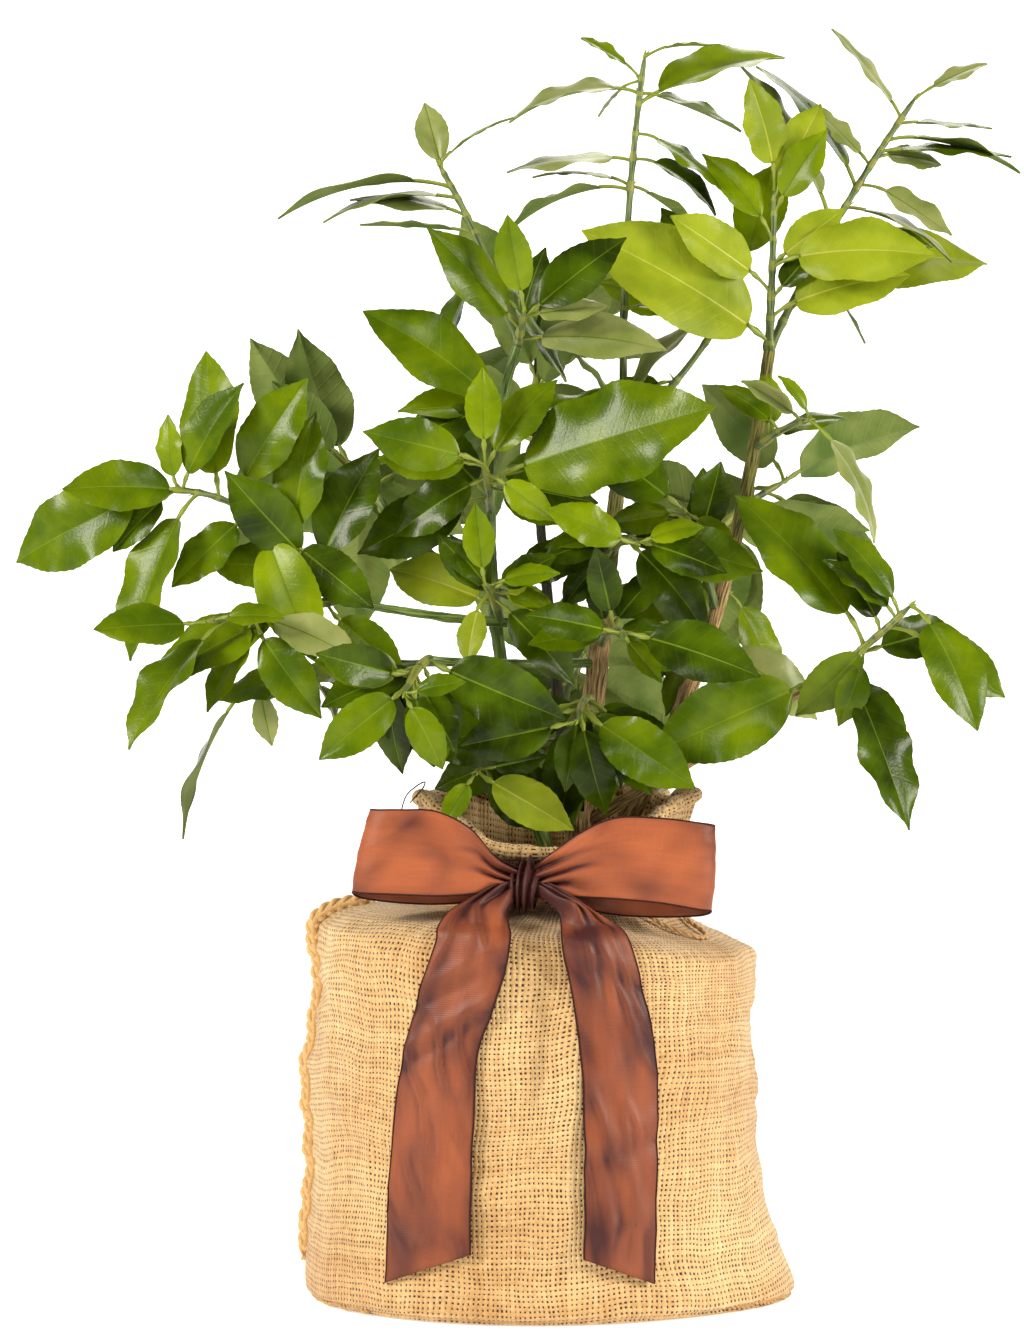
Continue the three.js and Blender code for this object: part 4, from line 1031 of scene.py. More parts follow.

# %% [markdown]
# ## How the plant grows
# The limbs, the masses of foliage and the rule that puts leaves on them are those of the imported
# solids, so every leaf lands where its solid is. A leaf is the hour that it points to on a clock
# seen from the front, and its length. Each node of a stem draws a twig length and perhaps a
# twin, then tries a few poses until its blade is clear of wood and of other leaves. The random
# numbers come from the same small generator, so both grow the same plant.

# %% Limbs
LIMBS = {
    "trunk": {"from": (16, 3, 140), "by": (32, -9, 300), "to": (47, -5, 430), "radius": (8, 3.1)},
    "stem_right": {"on": ("trunk", 0.17), "by": (84, 10, 312), "to": (120, 10, 471), "radius": (5.2, 3)},
    "stem_left": {"on": ("trunk", 0.13), "by": (-18, -16, 345), "to": (-6, -20, 472), "radius": (3.8, 2.2)},
    "stem_back": {"on": ("trunk", 0.21), "by": (12, 38, 320), "to": (2, 50, 420), "radius": (3.4, 2.2)},
    "bough_left": {"on": ("trunk", 0.62), "by": (-25, -36, 335), "to": (-93, -50, 345), "radius": (2.7, 1.9)},
    "bough_low": {"on": ("trunk", 0.55), "by": (-15, -42, 314), "to": (-49, -65, 316), "radius": (2.4, 1.8)},
    "bough_right": {"on": ("trunk", 0.28), "by": (86, -27, 270), "to": (140, -40, 305), "radius": (3.2, 2)},
    "bough_back_left": {
        "on": ("stem_back", 0.62), "by": (-35, 75, 360), "to": (-75, 105, 395), "radius": (2.3, 1.8),
    },
    "bough_back_right": {
        "on": ("stem_back", 0.5), "by": (50, 75, 345), "to": (95, 105, 380), "radius": (2.3, 1.8),
    },
}
print("limbs:", len(LIMBS))

# %% Masses of the crown


def mass(on, tip, bow, face, back, bare, crowd, leaves):
    """One mass of foliage: its limb and share, its stem's tip and bow, and how its leaves lie."""
    return {
        "on": on, "tip": np.array(tip, float), "bow": np.array(bow, float), "face": face, "back": back,
        "bare": bare, "crowd": crowd, "leaves": leaves,
    }


MASSES = {
    "crown_mid_right": mass(
        ("stem_right", 1), (122, 0, 550), (0, 0, 0), 0.7, -0.35, 0.04, 1,
        [(10.3, 98), (2.2, 60), (10, 52), (2.6, 70), (10.9, 44), (1, 40), (11.9, 46)],
    ),
    "crown_inner": mass(
        ("trunk", 1), (106, 14, 507), (4, 0, -4), 0.5, -0.1, 0.5, 1,
        [(3.6, 48), (1.2, 50), (9.6, 50), (11.2, 54), (10.2, 72), (12.4, 56)],
    ),
    "crown_top": mass(
        ("trunk", 1), (57, -5, 616), (-4, 0, 0), 0.25, 0, 0.05, 0.58,
        [
            (1.2, 60), (4.6, 38), (9.6, 62), (3.9, 50), (8.6, 58), (3.8, 46), (9.4, 66), (2.1, 72),
            (10, 26), (2.8, 24),
        ],
    ),
    "crown_right": mass(
        ("stem_right", 1), (195, 30, 600), (-5, 0, -2), 0.3, 0.1, 0.12, 0.8,
        [
            (1.2, 48), (2, 102), (2.6, 52), (11.3, 80), (3.6, 54), (3.9, 42), (1.6, 44), (3, 58),
            (10.8, 48), (2.1, 30),
        ],
    ),
    "left_spire": mass(
        ("stem_left", 1), (-45, -12, 561), (2, 0, 2), 0.25, 0, 0.42, 0.9,
        [(8.8, 80), (9.2, 46), (1.4, 76), (8.9, 72), (1.8, 38)],
    ),
}
print("masses of the crown:", len(MASSES))

# %% Masses at the left
MASSES |= {
    "left_fork": mass(
        ("stem_left", 1), (-3, -40, 486), (0, 0, 0), 0.6, -0.2, 0.1, 1,
        [(3, 64), (10.6, 62), (1.6, 54), (11.5, 38)],
    ),
    "left_high": mass(
        ("stem_left", 0.86), (-14, -42, 440), (0, 0, 0), 0.5, -0.1, 0.3, 1, [(3, 60), (10.2, 72), (8.6, 54)]
    ),
    "left_mid": mass(
        ("stem_left", 0.66), (-22, -62, 410), (0, 0, 0), 0.75, -0.3, 0.3, 1,
        [(8.4, 60), (10.3, 90), (2.4, 104), (4.2, 32), (9.6, 50)],
    ),
    "left_upper": mass(
        ("bough_left", 1), (-181, -45, 398), (0, 0, 16), 0.75, -0.15, 0.12, 1,
        [
            (1, 60), (12, 58), (4.2, 46), (4.6, 74), (0.9, 58), (0.7, 80), (7, 74), (11.6, 32), (8.4, 76),
        ],
    ),
    "left_lower": mass(
        ("bough_left", 1), (-157, -72, 334), (0, 0, 0), 0.6, -0.2, 0.1, 1,
        [(4.2, 42), (8.2, 66), (2.6, 48), (4.6, 50), (7.5, 66), (8.7, 56)],
    ),
    "left_hang": mass(
        ("bough_low", 0.55), (-140, -12, 303), (0, 0, 4), 0.3, 0, 0.4, 1,
        [(8.4, 60), (7, 44), (6, 34), (8.8, 54), (7, 70)],
    ),
    "low_front_left": mass(
        ("bough_low", 1), (-60, -98, 300), (0, 0, 3), 0.8, -0.2, 0.1, 1,
        [(3.6, 62), (8.2, 50), (8.8, 50), (7.4, 48), (5, 34)],
    ),
}
print("masses so far:", len(MASSES))

# %% Masses in the middle and at the front
MASSES |= {
    "inner_light": mass(
        ("bough_left", 0.42), (-22, -58, 352), (0, 0, 4), 0.7, -0.2, 0.25, 1,
        [(9.7, 58), (4.6, 48), (7, 32), (2.5, 28), (11.8, 32)],
    ),
    "front_centre": mass(
        ("trunk", 0.58), (46, -80, 326), (0, 0, 6), 0.7, -0.2, 0.3, 1,
        [(8.8, 34), (11.5, 34), (3.3, 58), (8, 54)],
    ),
    "front_low": mass(
        ("trunk", 0.48), (22, -72, 286), (0, 0, 6), 0.8, -0.2, 0.3, 1,
        [(6.6, 64), (8.5, 72), (4.2, 56), (9, 60)],
    ),
    "collar_front": mass(
        ("trunk", 0.42), (-26, -52, 262), (0, 0, 4), 0.8, -0.1, 0.4, 1, [(8.4, 50), (7.2, 34), (3.8, 54)]
    ),
    "centre_mid": mass(
        ("trunk", 0.74), (52, -62, 372), (0, 0, 6), 0.6, -0.2, 0.3, 1,
        [(8.6, 48), (4.4, 56), (3.2, 54), (9.4, 56)],
    ),
}
print("masses so far:", len(MASSES))

# %% Masses at the right
MASSES |= {
    "right_mid": mass(
        ("stem_right", 0.86), (138, -25, 434), (0, 0, 2), 0.5, -0.1, 0.2, 1,
        [(10.2, 36), (2.4, 40), (3.2, 38), (4.8, 58)],
    ),
    "right_inner": mass(
        ("stem_right", 0.6), (76, -40, 388), (0, 0, 4), 0.7, -0.1, 0.3, 1,
        [(4.4, 56), (8.9, 52), (6, 44), (10.2, 54)],
    ),
    "right_lowmid": mass(
        ("stem_right", 0.45), (100, 30, 350), (0, 0, 6), 0.5, 0.1, 0.35, 1,
        [(3.8, 58), (2.6, 46), (9.2, 54), (4.9, 48)],
    ),
    "right_low": mass(
        ("bough_right", 1), (184, -62, 342), (0, 0, -2), 0.7, -0.1, 0.08, 0.9,
        [(8.1, 80), (5.3, 70), (2.5, 44), (10.6, 80), (6.1, 62), (3.9, 52), (10.9, 44), (4.8, 62)],
    ),
}
print("masses so far:", len(MASSES))

# %% Masses at the back
MASSES |= {
    "back_left": mass(
        ("bough_back_left", 1), (-110, 130, 430), (0, 0, 3), -0.6, 0.4, 0.08, 1,
        [(9, 70), (2, 66), (6, 72), (11, 70), (8, 76), (4, 66), (10, 74), (1, 66)],
    ),
    "back_right": mass(
        ("bough_back_right", 1), (135, 130, 410), (0, 0, 3), -0.6, 0.4, 0.08, 1,
        [(3, 70), (10, 66), (6, 72), (1, 70), (4, 76), (8, 66), (2, 74), (11, 66)],
    ),
    "back_centre": mass(
        ("stem_back", 1), (5, 95, 490), (0, 0, 3), -0.5, 0.3, 0.1, 1,
        [(9, 66), (3, 70), (7, 66), (1, 70), (5, 66), (11, 70), (8, 60), (2, 66)],
    ),
    "back_low": mass(
        ("stem_back", 0.35), (30, 110, 320), (0, 0, 4), -0.7, 0.4, 0.4, 1,
        [(8, 66), (4, 70), (6, 60), (10, 66), (2, 70)],
    ),
}
print("masses in all:", len(MASSES))

# %% Growth sizes
GAP = 0.3
SEED = 11
MASS_LOTS = 1000
FINE_LOTS = 5000
LOOK_LOTS = 9000
TRIES = 10
LEAF_REACH = 7
OWN_LEAF_REACH = 4
WOOD_CLEARANCE = 3.5
WOOD_STEP = 4
NODE_SPACE = 12
TWIG_LENGTH = 7
TWIN_CHANCE = 0.2
TWIN_SIZE = 0.72
TWIN_AWAY = 1.8
TWIG_LEAN = 0.5
AIM_LOOSE = (0.2, 0.15)
SHRINK = 0.03
STEM_RADIUS = (2.0, 1.3)
LEAF_HALF_WIDTH = 0.26
LEAF_STALK = 0.12
BLADE_SKEW = 0.85
BACK_SPREAD = (0.2, 0.3)
LIGHT_OUT = 0.35
LEAF_ROLL = 20
LEAF_DROOP = (24, 18)
LEAF_FOLD = (16, 8)
FULLNESS = 0.75
LEAF_STEPS = 5
DRESS_MARGIN = 5
BOW_BACK = -66
BOW_TOP = 246
CROWN_MIDDLE = 35
CROWN_HALF_WIDTH = 200
ROOT_FLARE = 5
FLARE_HEIGHT = 16
WORD = 0xFFFFFFFF
print("a leaf is", round(2 * LEAF_HALF_WIDTH, 2), "of its length wide")

# %% A repeatable lot


def lot_of(seed):
    """A repeatable run of numbers from 0 to 1, made by mixing the bits of a 32-bit word."""
    state = [seed & WORD]

    def draw():
        state[0] = (state[0] + 0x6D2B79F5) & WORD
        t = ((state[0] ^ (state[0] >> 15)) * (state[0] | 1)) & WORD
        t = (t ^ (t + (((t ^ (t >> 7)) * (t | 61)) & WORD))) & WORD
        return ((t ^ (t >> 14)) & WORD) / 4294967296

    return draw


def sway(lot):
    """The next number of a lot, from -1 to 1."""
    return 2 * lot() - 1


def clock_turn(hour):
    """The angle of an hour, from the right and leftwards round."""
    return math.radians(90 - 30 * hour)


print("the first number of a lot:", round(lot_of(SEED)(), 4))

# %% Curves of limbs and stems


def curve_of(start, by, end):
    """A curve through three places, with the way that it runs."""
    start, by, end = (np.array(p, float) for p in (start, by, end))
    pull = 2 * by - (start + end) / 2
    chord = unit(end - start)
    side = unit(np.cross(chord, (0, 0, 1) if abs(chord[2]) < 0.9 else (0, 1, 0)))
    return {
        "length": float(np.linalg.norm(end - start)),
        "side": side,
        "at": lambda t: (1 - t) ** 2 * start + 2 * t * (1 - t) * pull + t * t * end,
        "way": lambda t: unit((1 - t) * (pull - start) + t * (end - pull)),
    }


def grow_limbs():
    """Every limb's curve. One that stands on another starts on that one's curve."""
    limbs = {}
    for name, limb in LIMBS.items():
        start = limb["from"] if "from" in limb else limbs[limb["on"][0]]["curve"]["at"](limb["on"][1])
        limbs[name] = {"curve": curve_of(start, limb["by"], limb["to"]), "radius": limb["radius"]}
    return limbs


def limb_radius(limb, t):
    """A limb's radius, which flares towards the compost."""
    height = limb["curve"]["at"](t)[2] - COMPOST_TOP
    flare = ROOT_FLARE * math.exp(-max(0, height) / FLARE_HEIGHT)
    return limb["radius"][0] + (limb["radius"][1] - limb["radius"][0]) * t + flare


def stem_radius(t):
    """The radius of a mass's green stem."""
    return STEM_RADIUS[0] + (STEM_RADIUS[1] - STEM_RADIUS[0]) * t


def stem_of(own, limbs):
    """The curve of a mass's stem, from its limb to its tip."""
    start = limbs[own["on"][0]]["curve"]["at"](own["on"][1])
    return curve_of(start, (start + own["tip"]) / 2 + own["bow"], own["tip"])


limbs = grow_limbs()
stems = {name: stem_of(own, limbs) for name, own in MASSES.items()}
print("green stem in all, in mm:", round(sum(stem["length"] for stem in stems.values())))

# %% Reach of the wood


def reach_along(curve, radius_at):
    """Places along a curve, each with how near a blade may come."""
    count = math.ceil(curve["length"] / WOOD_STEP)
    return [(curve["at"](i / count), radius_at(i / count) + WOOD_CLEARANCE) for i in range(count + 1)]


blocks = []
for limb in limbs.values():
    blocks += reach_along(limb["curve"], lambda t: limb_radius(limb, t))
for stem in stems.values():
    blocks += reach_along(stem, stem_radius)
wood = np.array([block[0] for block in blocks])
wood_reach = np.array([block[1] for block in blocks])
print("places that stand for the wood:", len(wood))

# %% Pose of a leaf


def half_width(share, fullness):
    """Half the width of a blade of length 1, at a share of its length."""
    inside = np.clip(np.sin(np.pi * np.minimum(share, 1) ** BLADE_SKEW), 0, None)
    return LEAF_HALF_WIDTH * inside**fullness


def leaf_from(root, hour, length, own, loose, lot):
    """The pose of one leaf: where its blade starts, its way, its face, its droop and its fold."""
    turn = clock_turn(hour + loose * sway(lot))
    back = own["back"] + (BACK_SPREAD[0] + BACK_SPREAD[1] * loose) * sway(lot)
    roll = math.radians(LEAF_ROLL * sway(lot))
    droop = math.radians(LEAF_DROOP[0] + LEAF_DROOP[1] * sway(lot))
    fold = math.radians(LEAF_FOLD[0] + LEAF_FOLD[1] * sway(lot))
    way = unit(np.array([math.cos(turn), back, math.sin(turn)]))
    outward = (root[0] - CROWN_MIDDLE) / CROWN_HALF_WIDTH
    light = np.array([LIGHT_OUT * outward, -own["face"], 1 - abs(own["face"])])
    flat = unit(light - way * (light @ way))
    face = math.cos(roll) * flat + math.sin(roll) * np.cross(way, flat)
    return {
        "root": root, "foot": root + LEAF_STALK * length * way, "length": length, "way": way,
        "face": face, "across": np.cross(way, face), "droop": droop, "fold": fold,
    }


def blade_lines(leaf, steps, fullness=FULLNESS):
    """The blade's spine, the way that its face looks and its half width, station by station."""
    share = np.arange(steps + 1) / steps
    bend = leaf["droop"] * (share[1:] - 0.5 / steps)
    run = np.cos(bend)[:, None] * leaf["way"] - np.sin(bend)[:, None] * leaf["face"]
    spine = leaf["foot"] + np.concatenate([np.zeros((1, 3)), np.cumsum(run, 0)]) * leaf["length"] / steps
    tilt = leaf["droop"] * share
    up = np.cos(tilt)[:, None] * leaf["face"] + np.sin(tilt)[:, None] * leaf["way"]
    return spine, up, leaf["length"] * half_width(share, fullness)


# %% Room for a leaf


def leaf_places(leaf):
    """Places that stand for a blade when it is set clear of the rest."""
    spine, up, half = blade_lines(leaf, LEAF_STEPS)
    places = []
    for step in range(1, LEAF_STEPS + 1):
        places.append(spine[step])
        if step == LEAF_STEPS:
            break
        rise = half[step] * math.sin(leaf["fold"])
        spread = half[step] * math.cos(leaf["fold"])
        for side in (-1, 1):
            edge = spine[step] + side * spread * leaf["across"] + rise * up[step]
            places += [edge, (spine[step] + edge) / 2]
    return np.array(places)


def in_dress(places):
    """Whether any place lies in the sack, its collar or the bow."""
    x, y, z = places.T
    from_neck = np.hypot(x - NECK_SHIFT, y)
    collar = COLLAR_HEIGHT - COLLAR_FRONT_DIP * bulge(np.arctan2(y, x - NECK_SHIFT), -np.pi / 2, 0.9)
    in_sack = (z < NECK_HEIGHT) & (np.hypot(x, y) < SACK_RADIUS + FOOT_EAR_RIGHT)
    in_collar = (z < collar + DRESS_MARGIN) & (from_neck < COLLAR_RADIUS + DRESS_MARGIN)
    in_bow = (z < BOW_TOP) & (y < BOW_BACK) & (np.abs(x) < SACK_RADIUS)
    return bool((in_sack | in_collar | in_bow).any())


def is_clear(places, blocks, reach):
    """Whether all places keep their reach from what already stands."""
    if not len(blocks):
        return True
    gaps = np.linalg.norm(places[:, None] - blocks[None], axis=2)
    return bool((gaps > reach[None]).all())


# %% Grow one mass


def twig_root(own, stem, t, hour, length):
    """Where a twig of a stem ends and its leaf's stalk starts."""
    turn = clock_turn(hour)
    way_out = np.array([math.cos(turn), own["back"], math.sin(turn)])
    return stem["at"](t) + unit(way_out + TWIG_LEAN * stem["way"](t)) * length


def grow_mass(own, stem, lot, taken, taken_reach):
    """The leaves of one mass, each with the node that it stands on."""
    grown = []
    own_places = np.zeros((0, 3))
    last = len(own["leaves"]) - 1
    for index, (hour, length) in enumerate(own["leaves"]):
        t = own["bare"] + (1 - own["bare"]) * (index / last) ** own["crowd"]
        node = stem["at"](t)
        twig = TWIG_LENGTH * (0.5 + lot())
        twin = lot() < TWIN_CHANCE
        side = -1 if lot() < 0.5 else 1
        twin_hour = hour + side * (TWIN_AWAY + lot())
        far = np.linalg.norm(wood - node, axis=1) > NODE_SPACE
        wanted = [(hour, length)] + ([(twin_hour, TWIN_SIZE * length)] if twin else [])
        for aim, size in wanted:
            for attempt in range(TRIES):
                root = twig_root(own, stem, t, aim, twig)
                loose = AIM_LOOSE[0] + AIM_LOOSE[1] * attempt
                leaf = leaf_from(root, aim, size * (1 - SHRINK * attempt), own, loose, lot)
                places = leaf_places(leaf)
                if in_dress(places) or not is_clear(places, taken, taken_reach):
                    continue
                if not is_clear(places, own_places, np.full(len(own_places), OWN_LEAF_REACH)):
                    continue
                if not is_clear(places, wood[far], wood_reach[far]):
                    continue
                grown.append({**leaf, "node": node, "t": t})
                own_places = np.concatenate([own_places, places[1:]])
                break
    return grown


# %% Every mass in turn
leaves = {}
taken, taken_reach = np.zeros((0, 3)), np.zeros(0)
for index, (name, own) in enumerate(MASSES.items()):
    leaves[name] = grow_mass(own, stems[name], lot_of(SEED * MASS_LOTS + index), taken, taken_reach)
    for leaf in leaves[name]:
        places = leaf_places(leaf)
        taken = np.concatenate([taken, places])
        taken_reach = np.concatenate([taken_reach, np.full(len(places), LEAF_REACH)])
print("leaves on the packed rule:", sum(map(len, leaves.values())))

# %% [markdown]
# ## Finer growth
# The real plant carries more leaves than its solids: small ones in the axils, and a thicket
# low in the middle of the crown. They grow by the same rule with less clearance, shorter, and
# only inside the box of their own mass, so the outline of the crown stays. A real crown is
# open in places, so a blade whose middle would close one of those gaps is left out. Blades
# that mark the crown's outline or its front are aimed: each is a share of the stem, an hour
# and a length, and the rule still finds its pose.

# %% Open sky
OPEN_SKY = (
    (128, 408, 22), (112, 372, 20), (118, 345, 16), (140, 335, 16), (78, 432, 22), (86, 460, 18),
    (150, 440, 12), (-62, 497, 18), (-118, 478, 20), (0, 582, 16), (205, 372, 24), (190, 288, 14),
    (-212, 425, 20), (-162, 306, 11), (-79, 430, 12), (36, 312, 14), (92, 442, 15), (84, 418, 12),
    (8, 520, 6), (-41, 477, 5), (-72, 420, 7), (94, 408, 6), (127, 465, 6), (160, 342, 8), (-108, 281, 6),
    (151, 477, 14),
)


def in_sky(leaf):
    """Whether the middle of a blade, seen from in front, lies in one of the crown's gaps."""
    spine, _, _ = blade_lines(leaf, LEAF_STEPS)
    x, y, z = spine[LEAF_STEPS // 2]
    shrink = VIEW_DISTANCE / (VIEW_DISTANCE + y)
    across = VIEW_SIDE + (x - VIEW_SIDE) * shrink
    up = VIEW_HEIGHT + (z - VIEW_HEIGHT) * shrink
    return any(math.hypot(across - cx, up - cz) < reach for cx, cz, reach in OPEN_SKY)


packed = sum(map(len, leaves.values()))
leaves = {name: [leaf for leaf in grown if not in_sky(leaf)] for name, grown in leaves.items()}
print("leaves left out for open sky:", packed - sum(map(len, leaves.values())))

# %% Extra leaves
FINE_REACH = 3.4
FINE_TRIES = 16
FINE_PLENTY = 7
FINE_FEW = 5
FINE_OPEN = 2
FINE_LOOSE = 0.3
BOX_SLACK = 2
OPEN_HEIGHT = 435
THICKET_HEIGHT = 430
THICKET_HALF_WIDTH = 125
SEEN_LEAVES = {
    "crown_top": ((0.9, 9.1, 58), (0.9, 3.4, 46), (0.72, 9.0, 54), (0.62, 9.3, 48), (0.66, 3.9, 46)),
    "crown_right": ((0.8, 3.0, 60), (0.66, 11.2, 76), (0.9, 3.2, 46)),
    "crown_mid_right": ((0.93, 0.8, 48),),
    "left_spire": ((0.8, 9.0, 60), (0.95, 11.4, 34)),
    "collar_front": ((0.97, 6.9, 32), (0.25, 5.6, 34), (0.45, 6.3, 34), (0.6, 5.0, 36)),
    "front_low": ((0.85, 5.4, 54), (0.5, 5.8, 50), (0.3, 5.1, 50)),
}


def fine_count(own):
    """How many more leaves a mass gets: many low in the middle, few high up."""
    low_down = own["tip"][2] < THICKET_HEIGHT
    in_thicket = low_down and abs(own["tip"][0] - CROWN_MIDDLE) < THICKET_HALF_WIDTH
    if in_thicket or own["back"] > 0.2:
        return FINE_PLENTY
    return FINE_OPEN if own["tip"][2] > OPEN_HEIGHT else FINE_FEW


def grow_finer(name, own, stem, lot):
    """More and shorter leaves between the nodes of one mass, inside its box."""
    low, high = (np.array(corner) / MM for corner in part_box(name))
    typical = float(np.mean([length for _, length in own["leaves"]]))
    reach = np.array([FINE_REACH])
    grown = []
    for aim in (*SEEN_LEAVES.get(name, ()), *[None] * fine_count(own)):
        for attempt in range(FINE_TRIES):
            t = own["bare"] * 0.6 + (1 - own["bare"] * 0.6) * lot()
            hour, length = 12 * lot(), typical * (0.5 + 0.4 * lot())
            if aim:
                t = min(aim[0] + 0.01 * attempt * sway(lot), 0.99)
                hour, length = aim[1], aim[2] * (1 - 0.02 * attempt)
            root = twig_root(own, stem, t, hour, TWIG_LENGTH * (0.4 + 0.5 * lot()))
            leaf = leaf_from(root, hour, length, own, FINE_LOOSE, lot)
            places = leaf_places(leaf)
            outside = (places < low - BOX_SLACK).any() or (places > high + BOX_SLACK).any()
            if outside or in_dress(places) or in_sky(leaf):
                continue
            node = stem["at"](t)
            far = np.linalg.norm(wood - node, axis=1) > NODE_SPACE
            if is_clear(places, taken, reach) and is_clear(places, wood[far], reach):
                grown.append({**leaf, "node": node, "t": t, "fine": not aim})
                break
    return grown


print("leaves given by hand:", sum(map(len, SEEN_LEAVES.values())))

# %% Add them to each mass
for index, (name, own) in enumerate(MASSES.items()):
    for leaf in grow_finer(name, own, stems[name], lot_of(SEED * FINE_LOTS + index)):
        leaves[name].append(leaf)
        taken = np.concatenate([taken, leaf_places(leaf)])
print("leaves in all:", sum(map(len, leaves.values())))

# %% [markdown]
# ## Leaf materials
# A lime leaf has a waxy top over dark green tissue, so it shines, and a dull, paler underside.
# Young leaves are thin, yellow-green and less glossy, and their green is made brighter as
# painted light, for the light that comes through them. Each leaf takes one of a few plain
# greens, drawn for it by lot, with a faint mottle, because a tone that changed from place to
# place would not tell one leaf from the next. The low, inner masses draw mostly dark greens,
# partly for their age and partly as painted shade, and some leaves take a pale grey-green as
# painted sheen. A few leaves at the front have their tone given. The midrib is a strip of
# faces of its own in a lighter green.

# %% Leaf materials
PATCH_MM = 26.3
GRAIN_MM = 1.333
DENT_MM = 8.33
DENT_DEPTH = 1.4
VEIN_SHARPNESS = 40.0
VEIN_TINT = 0.035


def leaf_material(name, base, patch, roughness, coat=0.0, vein=None, relief=-1.0):
    """A leaf's skin: soft patches, side veins from the blade's UV map and a leathery grain."""
    material, shader = new_material(
        name, Roughness=roughness, IOR=1.42, Coat_Weight=coat, Coat_Roughness=0.22, Specular_IOR_Level=0.14
    )
    place = add_node(material, "TexCoord").outputs["Object"]
    patches = add_node(material, "TexNoise", {"Vector": place, "Scale": 1 / (PATCH_MM * MM), "Detail": 4.0})
    spread = add_node(material, "MapRange", [patches, 0.36, 0.64])
    skin = add_node(material, "Mix", {0: spread, 6: base, 7: patch}, data_type="RGBA")
    grain = add_node(material, "TexNoise", {"Vector": place, "Scale": 1 / (GRAIN_MM * MM), "Detail": 2.0})
    dents = add_node(material, "TexNoise", {"Vector": place, "Scale": 1 / (DENT_MM * MM), "Detail": 1.0})
    height = add_node(material, "Math", [dents, DENT_DEPTH, grain], operation="MULTIPLY_ADD")
    if vein:
        uv = add_node(material, "UVMap", uv_map=SURFACE)
        across = add_node(material, "SeparateXYZ", [uv]).outputs["X"]
        half_turns = add_node(material, "Math", [across, math.pi], operation="MULTIPLY")
        swing = add_node(material, "Math", [half_turns], operation="COSINE")
        both_ways = add_node(material, "Math", [swing], operation="ABSOLUTE")
        line = add_node(material, "Math", [both_ways, VEIN_SHARPNESS], operation="POWER")
        tint = add_node(material, "Math", [line, VEIN_TINT], operation="MULTIPLY")
        skin = add_node(material, "Mix", {0: tint, 6: skin, 7: vein}, data_type="RGBA")
        height = add_node(material, "Math", [line, relief, height], operation="MULTIPLY_ADD")
    bump = add_node(material, "Bump", {"Height": height, "Strength": 0.45, "Distance": 0.3 * MM})
    dress(material, shader, skin, bump)
    return material


LEAF_MATERIALS = [
    leaf_material("old leaf, waxy dark green", "#202e00", "#445a00", 0.25, 0.06, "#8a9a3c", -0.25),
    leaf_material("old leaf, waxy mid green", "#3c5200", "#5e7200", 0.26, 0.07, "#8f9f40", -0.25),
    leaf_material("leaf, fresh green", "#566c00", "#748600", 0.3, 0.06, "#9fab48", -0.25),
    # Young leaves are yellow-green, and their green is made brighter as painted light, for light through the
    # thin blade.
    leaf_material("young leaf, yellow-green, brightened as painted light", "#6c7c10", "#8b981c", 0.42, 0.03, "#b4b24c", -0.3),
    leaf_material("underside of an old leaf", "#4e6426", "#768444", 0.6, 0.0, "#90965c", 0.9),
    leaf_material("underside of a young leaf", "#7f8c20", "#9ca53a", 0.6, 0.0, "#a6a660", 0.9),
    leaf_material("midrib of an old leaf", "#4c6208", "#68801a", 0.42, 0.06),
    leaf_material("midrib of a young leaf", "#90962c", "#a8a84a", 0.45, 0.05),
    # A pale grey-green that stands for the sheen of leaves in full light: painted sheen.
    leaf_material("leaf, pale grey-green, painted sheen of full light", "#6c7838", "#8e9458", 0.34, 0.12, "#a9ac76", -0.25),
]
print("leaf finishes:", len(LEAF_MATERIALS))

# %% Which green each leaf takes
DARK, MID, FRESH, YOUNG, UNDER_OLD, UNDER_YOUNG, RIB_OLD, RIB_YOUNG, PAINTED_SHEEN = range(9)
# Limits of the lot between dark, mid, fresh and young greens for each mass: the low, inner masses draw mostly
# dark greens, partly for their age and partly as painted shade.
AGE_AND_SHADE_LIMITS = {
    "crown_mid_right": (0.0, 0.0, 0.3), "crown_inner": (0.0, 0.15, 0.55), "inner_light": (0.1, 0.3, 0.6),
    "crown_top": (0.35, 0.85, 1), "crown_right": (0.35, 0.8, 0.97), "left_spire": (0.3, 0.65, 0.9),
    "left_fork": (0.35, 0.7, 0.85), "left_upper": (0.22, 0.72, 1), "left_lower": (0.25, 0.75, 0.97),
    "front_low": (0.7, 0.92, 1), "collar_front": (0.5, 0.8, 1), "front_centre": (0.65, 0.9, 1),
    "centre_mid": (0.5, 0.85, 1), "right_inner": (0.35, 0.7, 1), "left_mid": (0.45, 0.8, 1),
    "right_mid": (0.1, 0.45, 0.95), "right_lowmid": (0.15, 0.5, 0.95), "right_low": (0.25, 0.85, 1),
}
USUAL_AGE_AND_SHADE_LIMITS = (0.45, 0.88, 1)
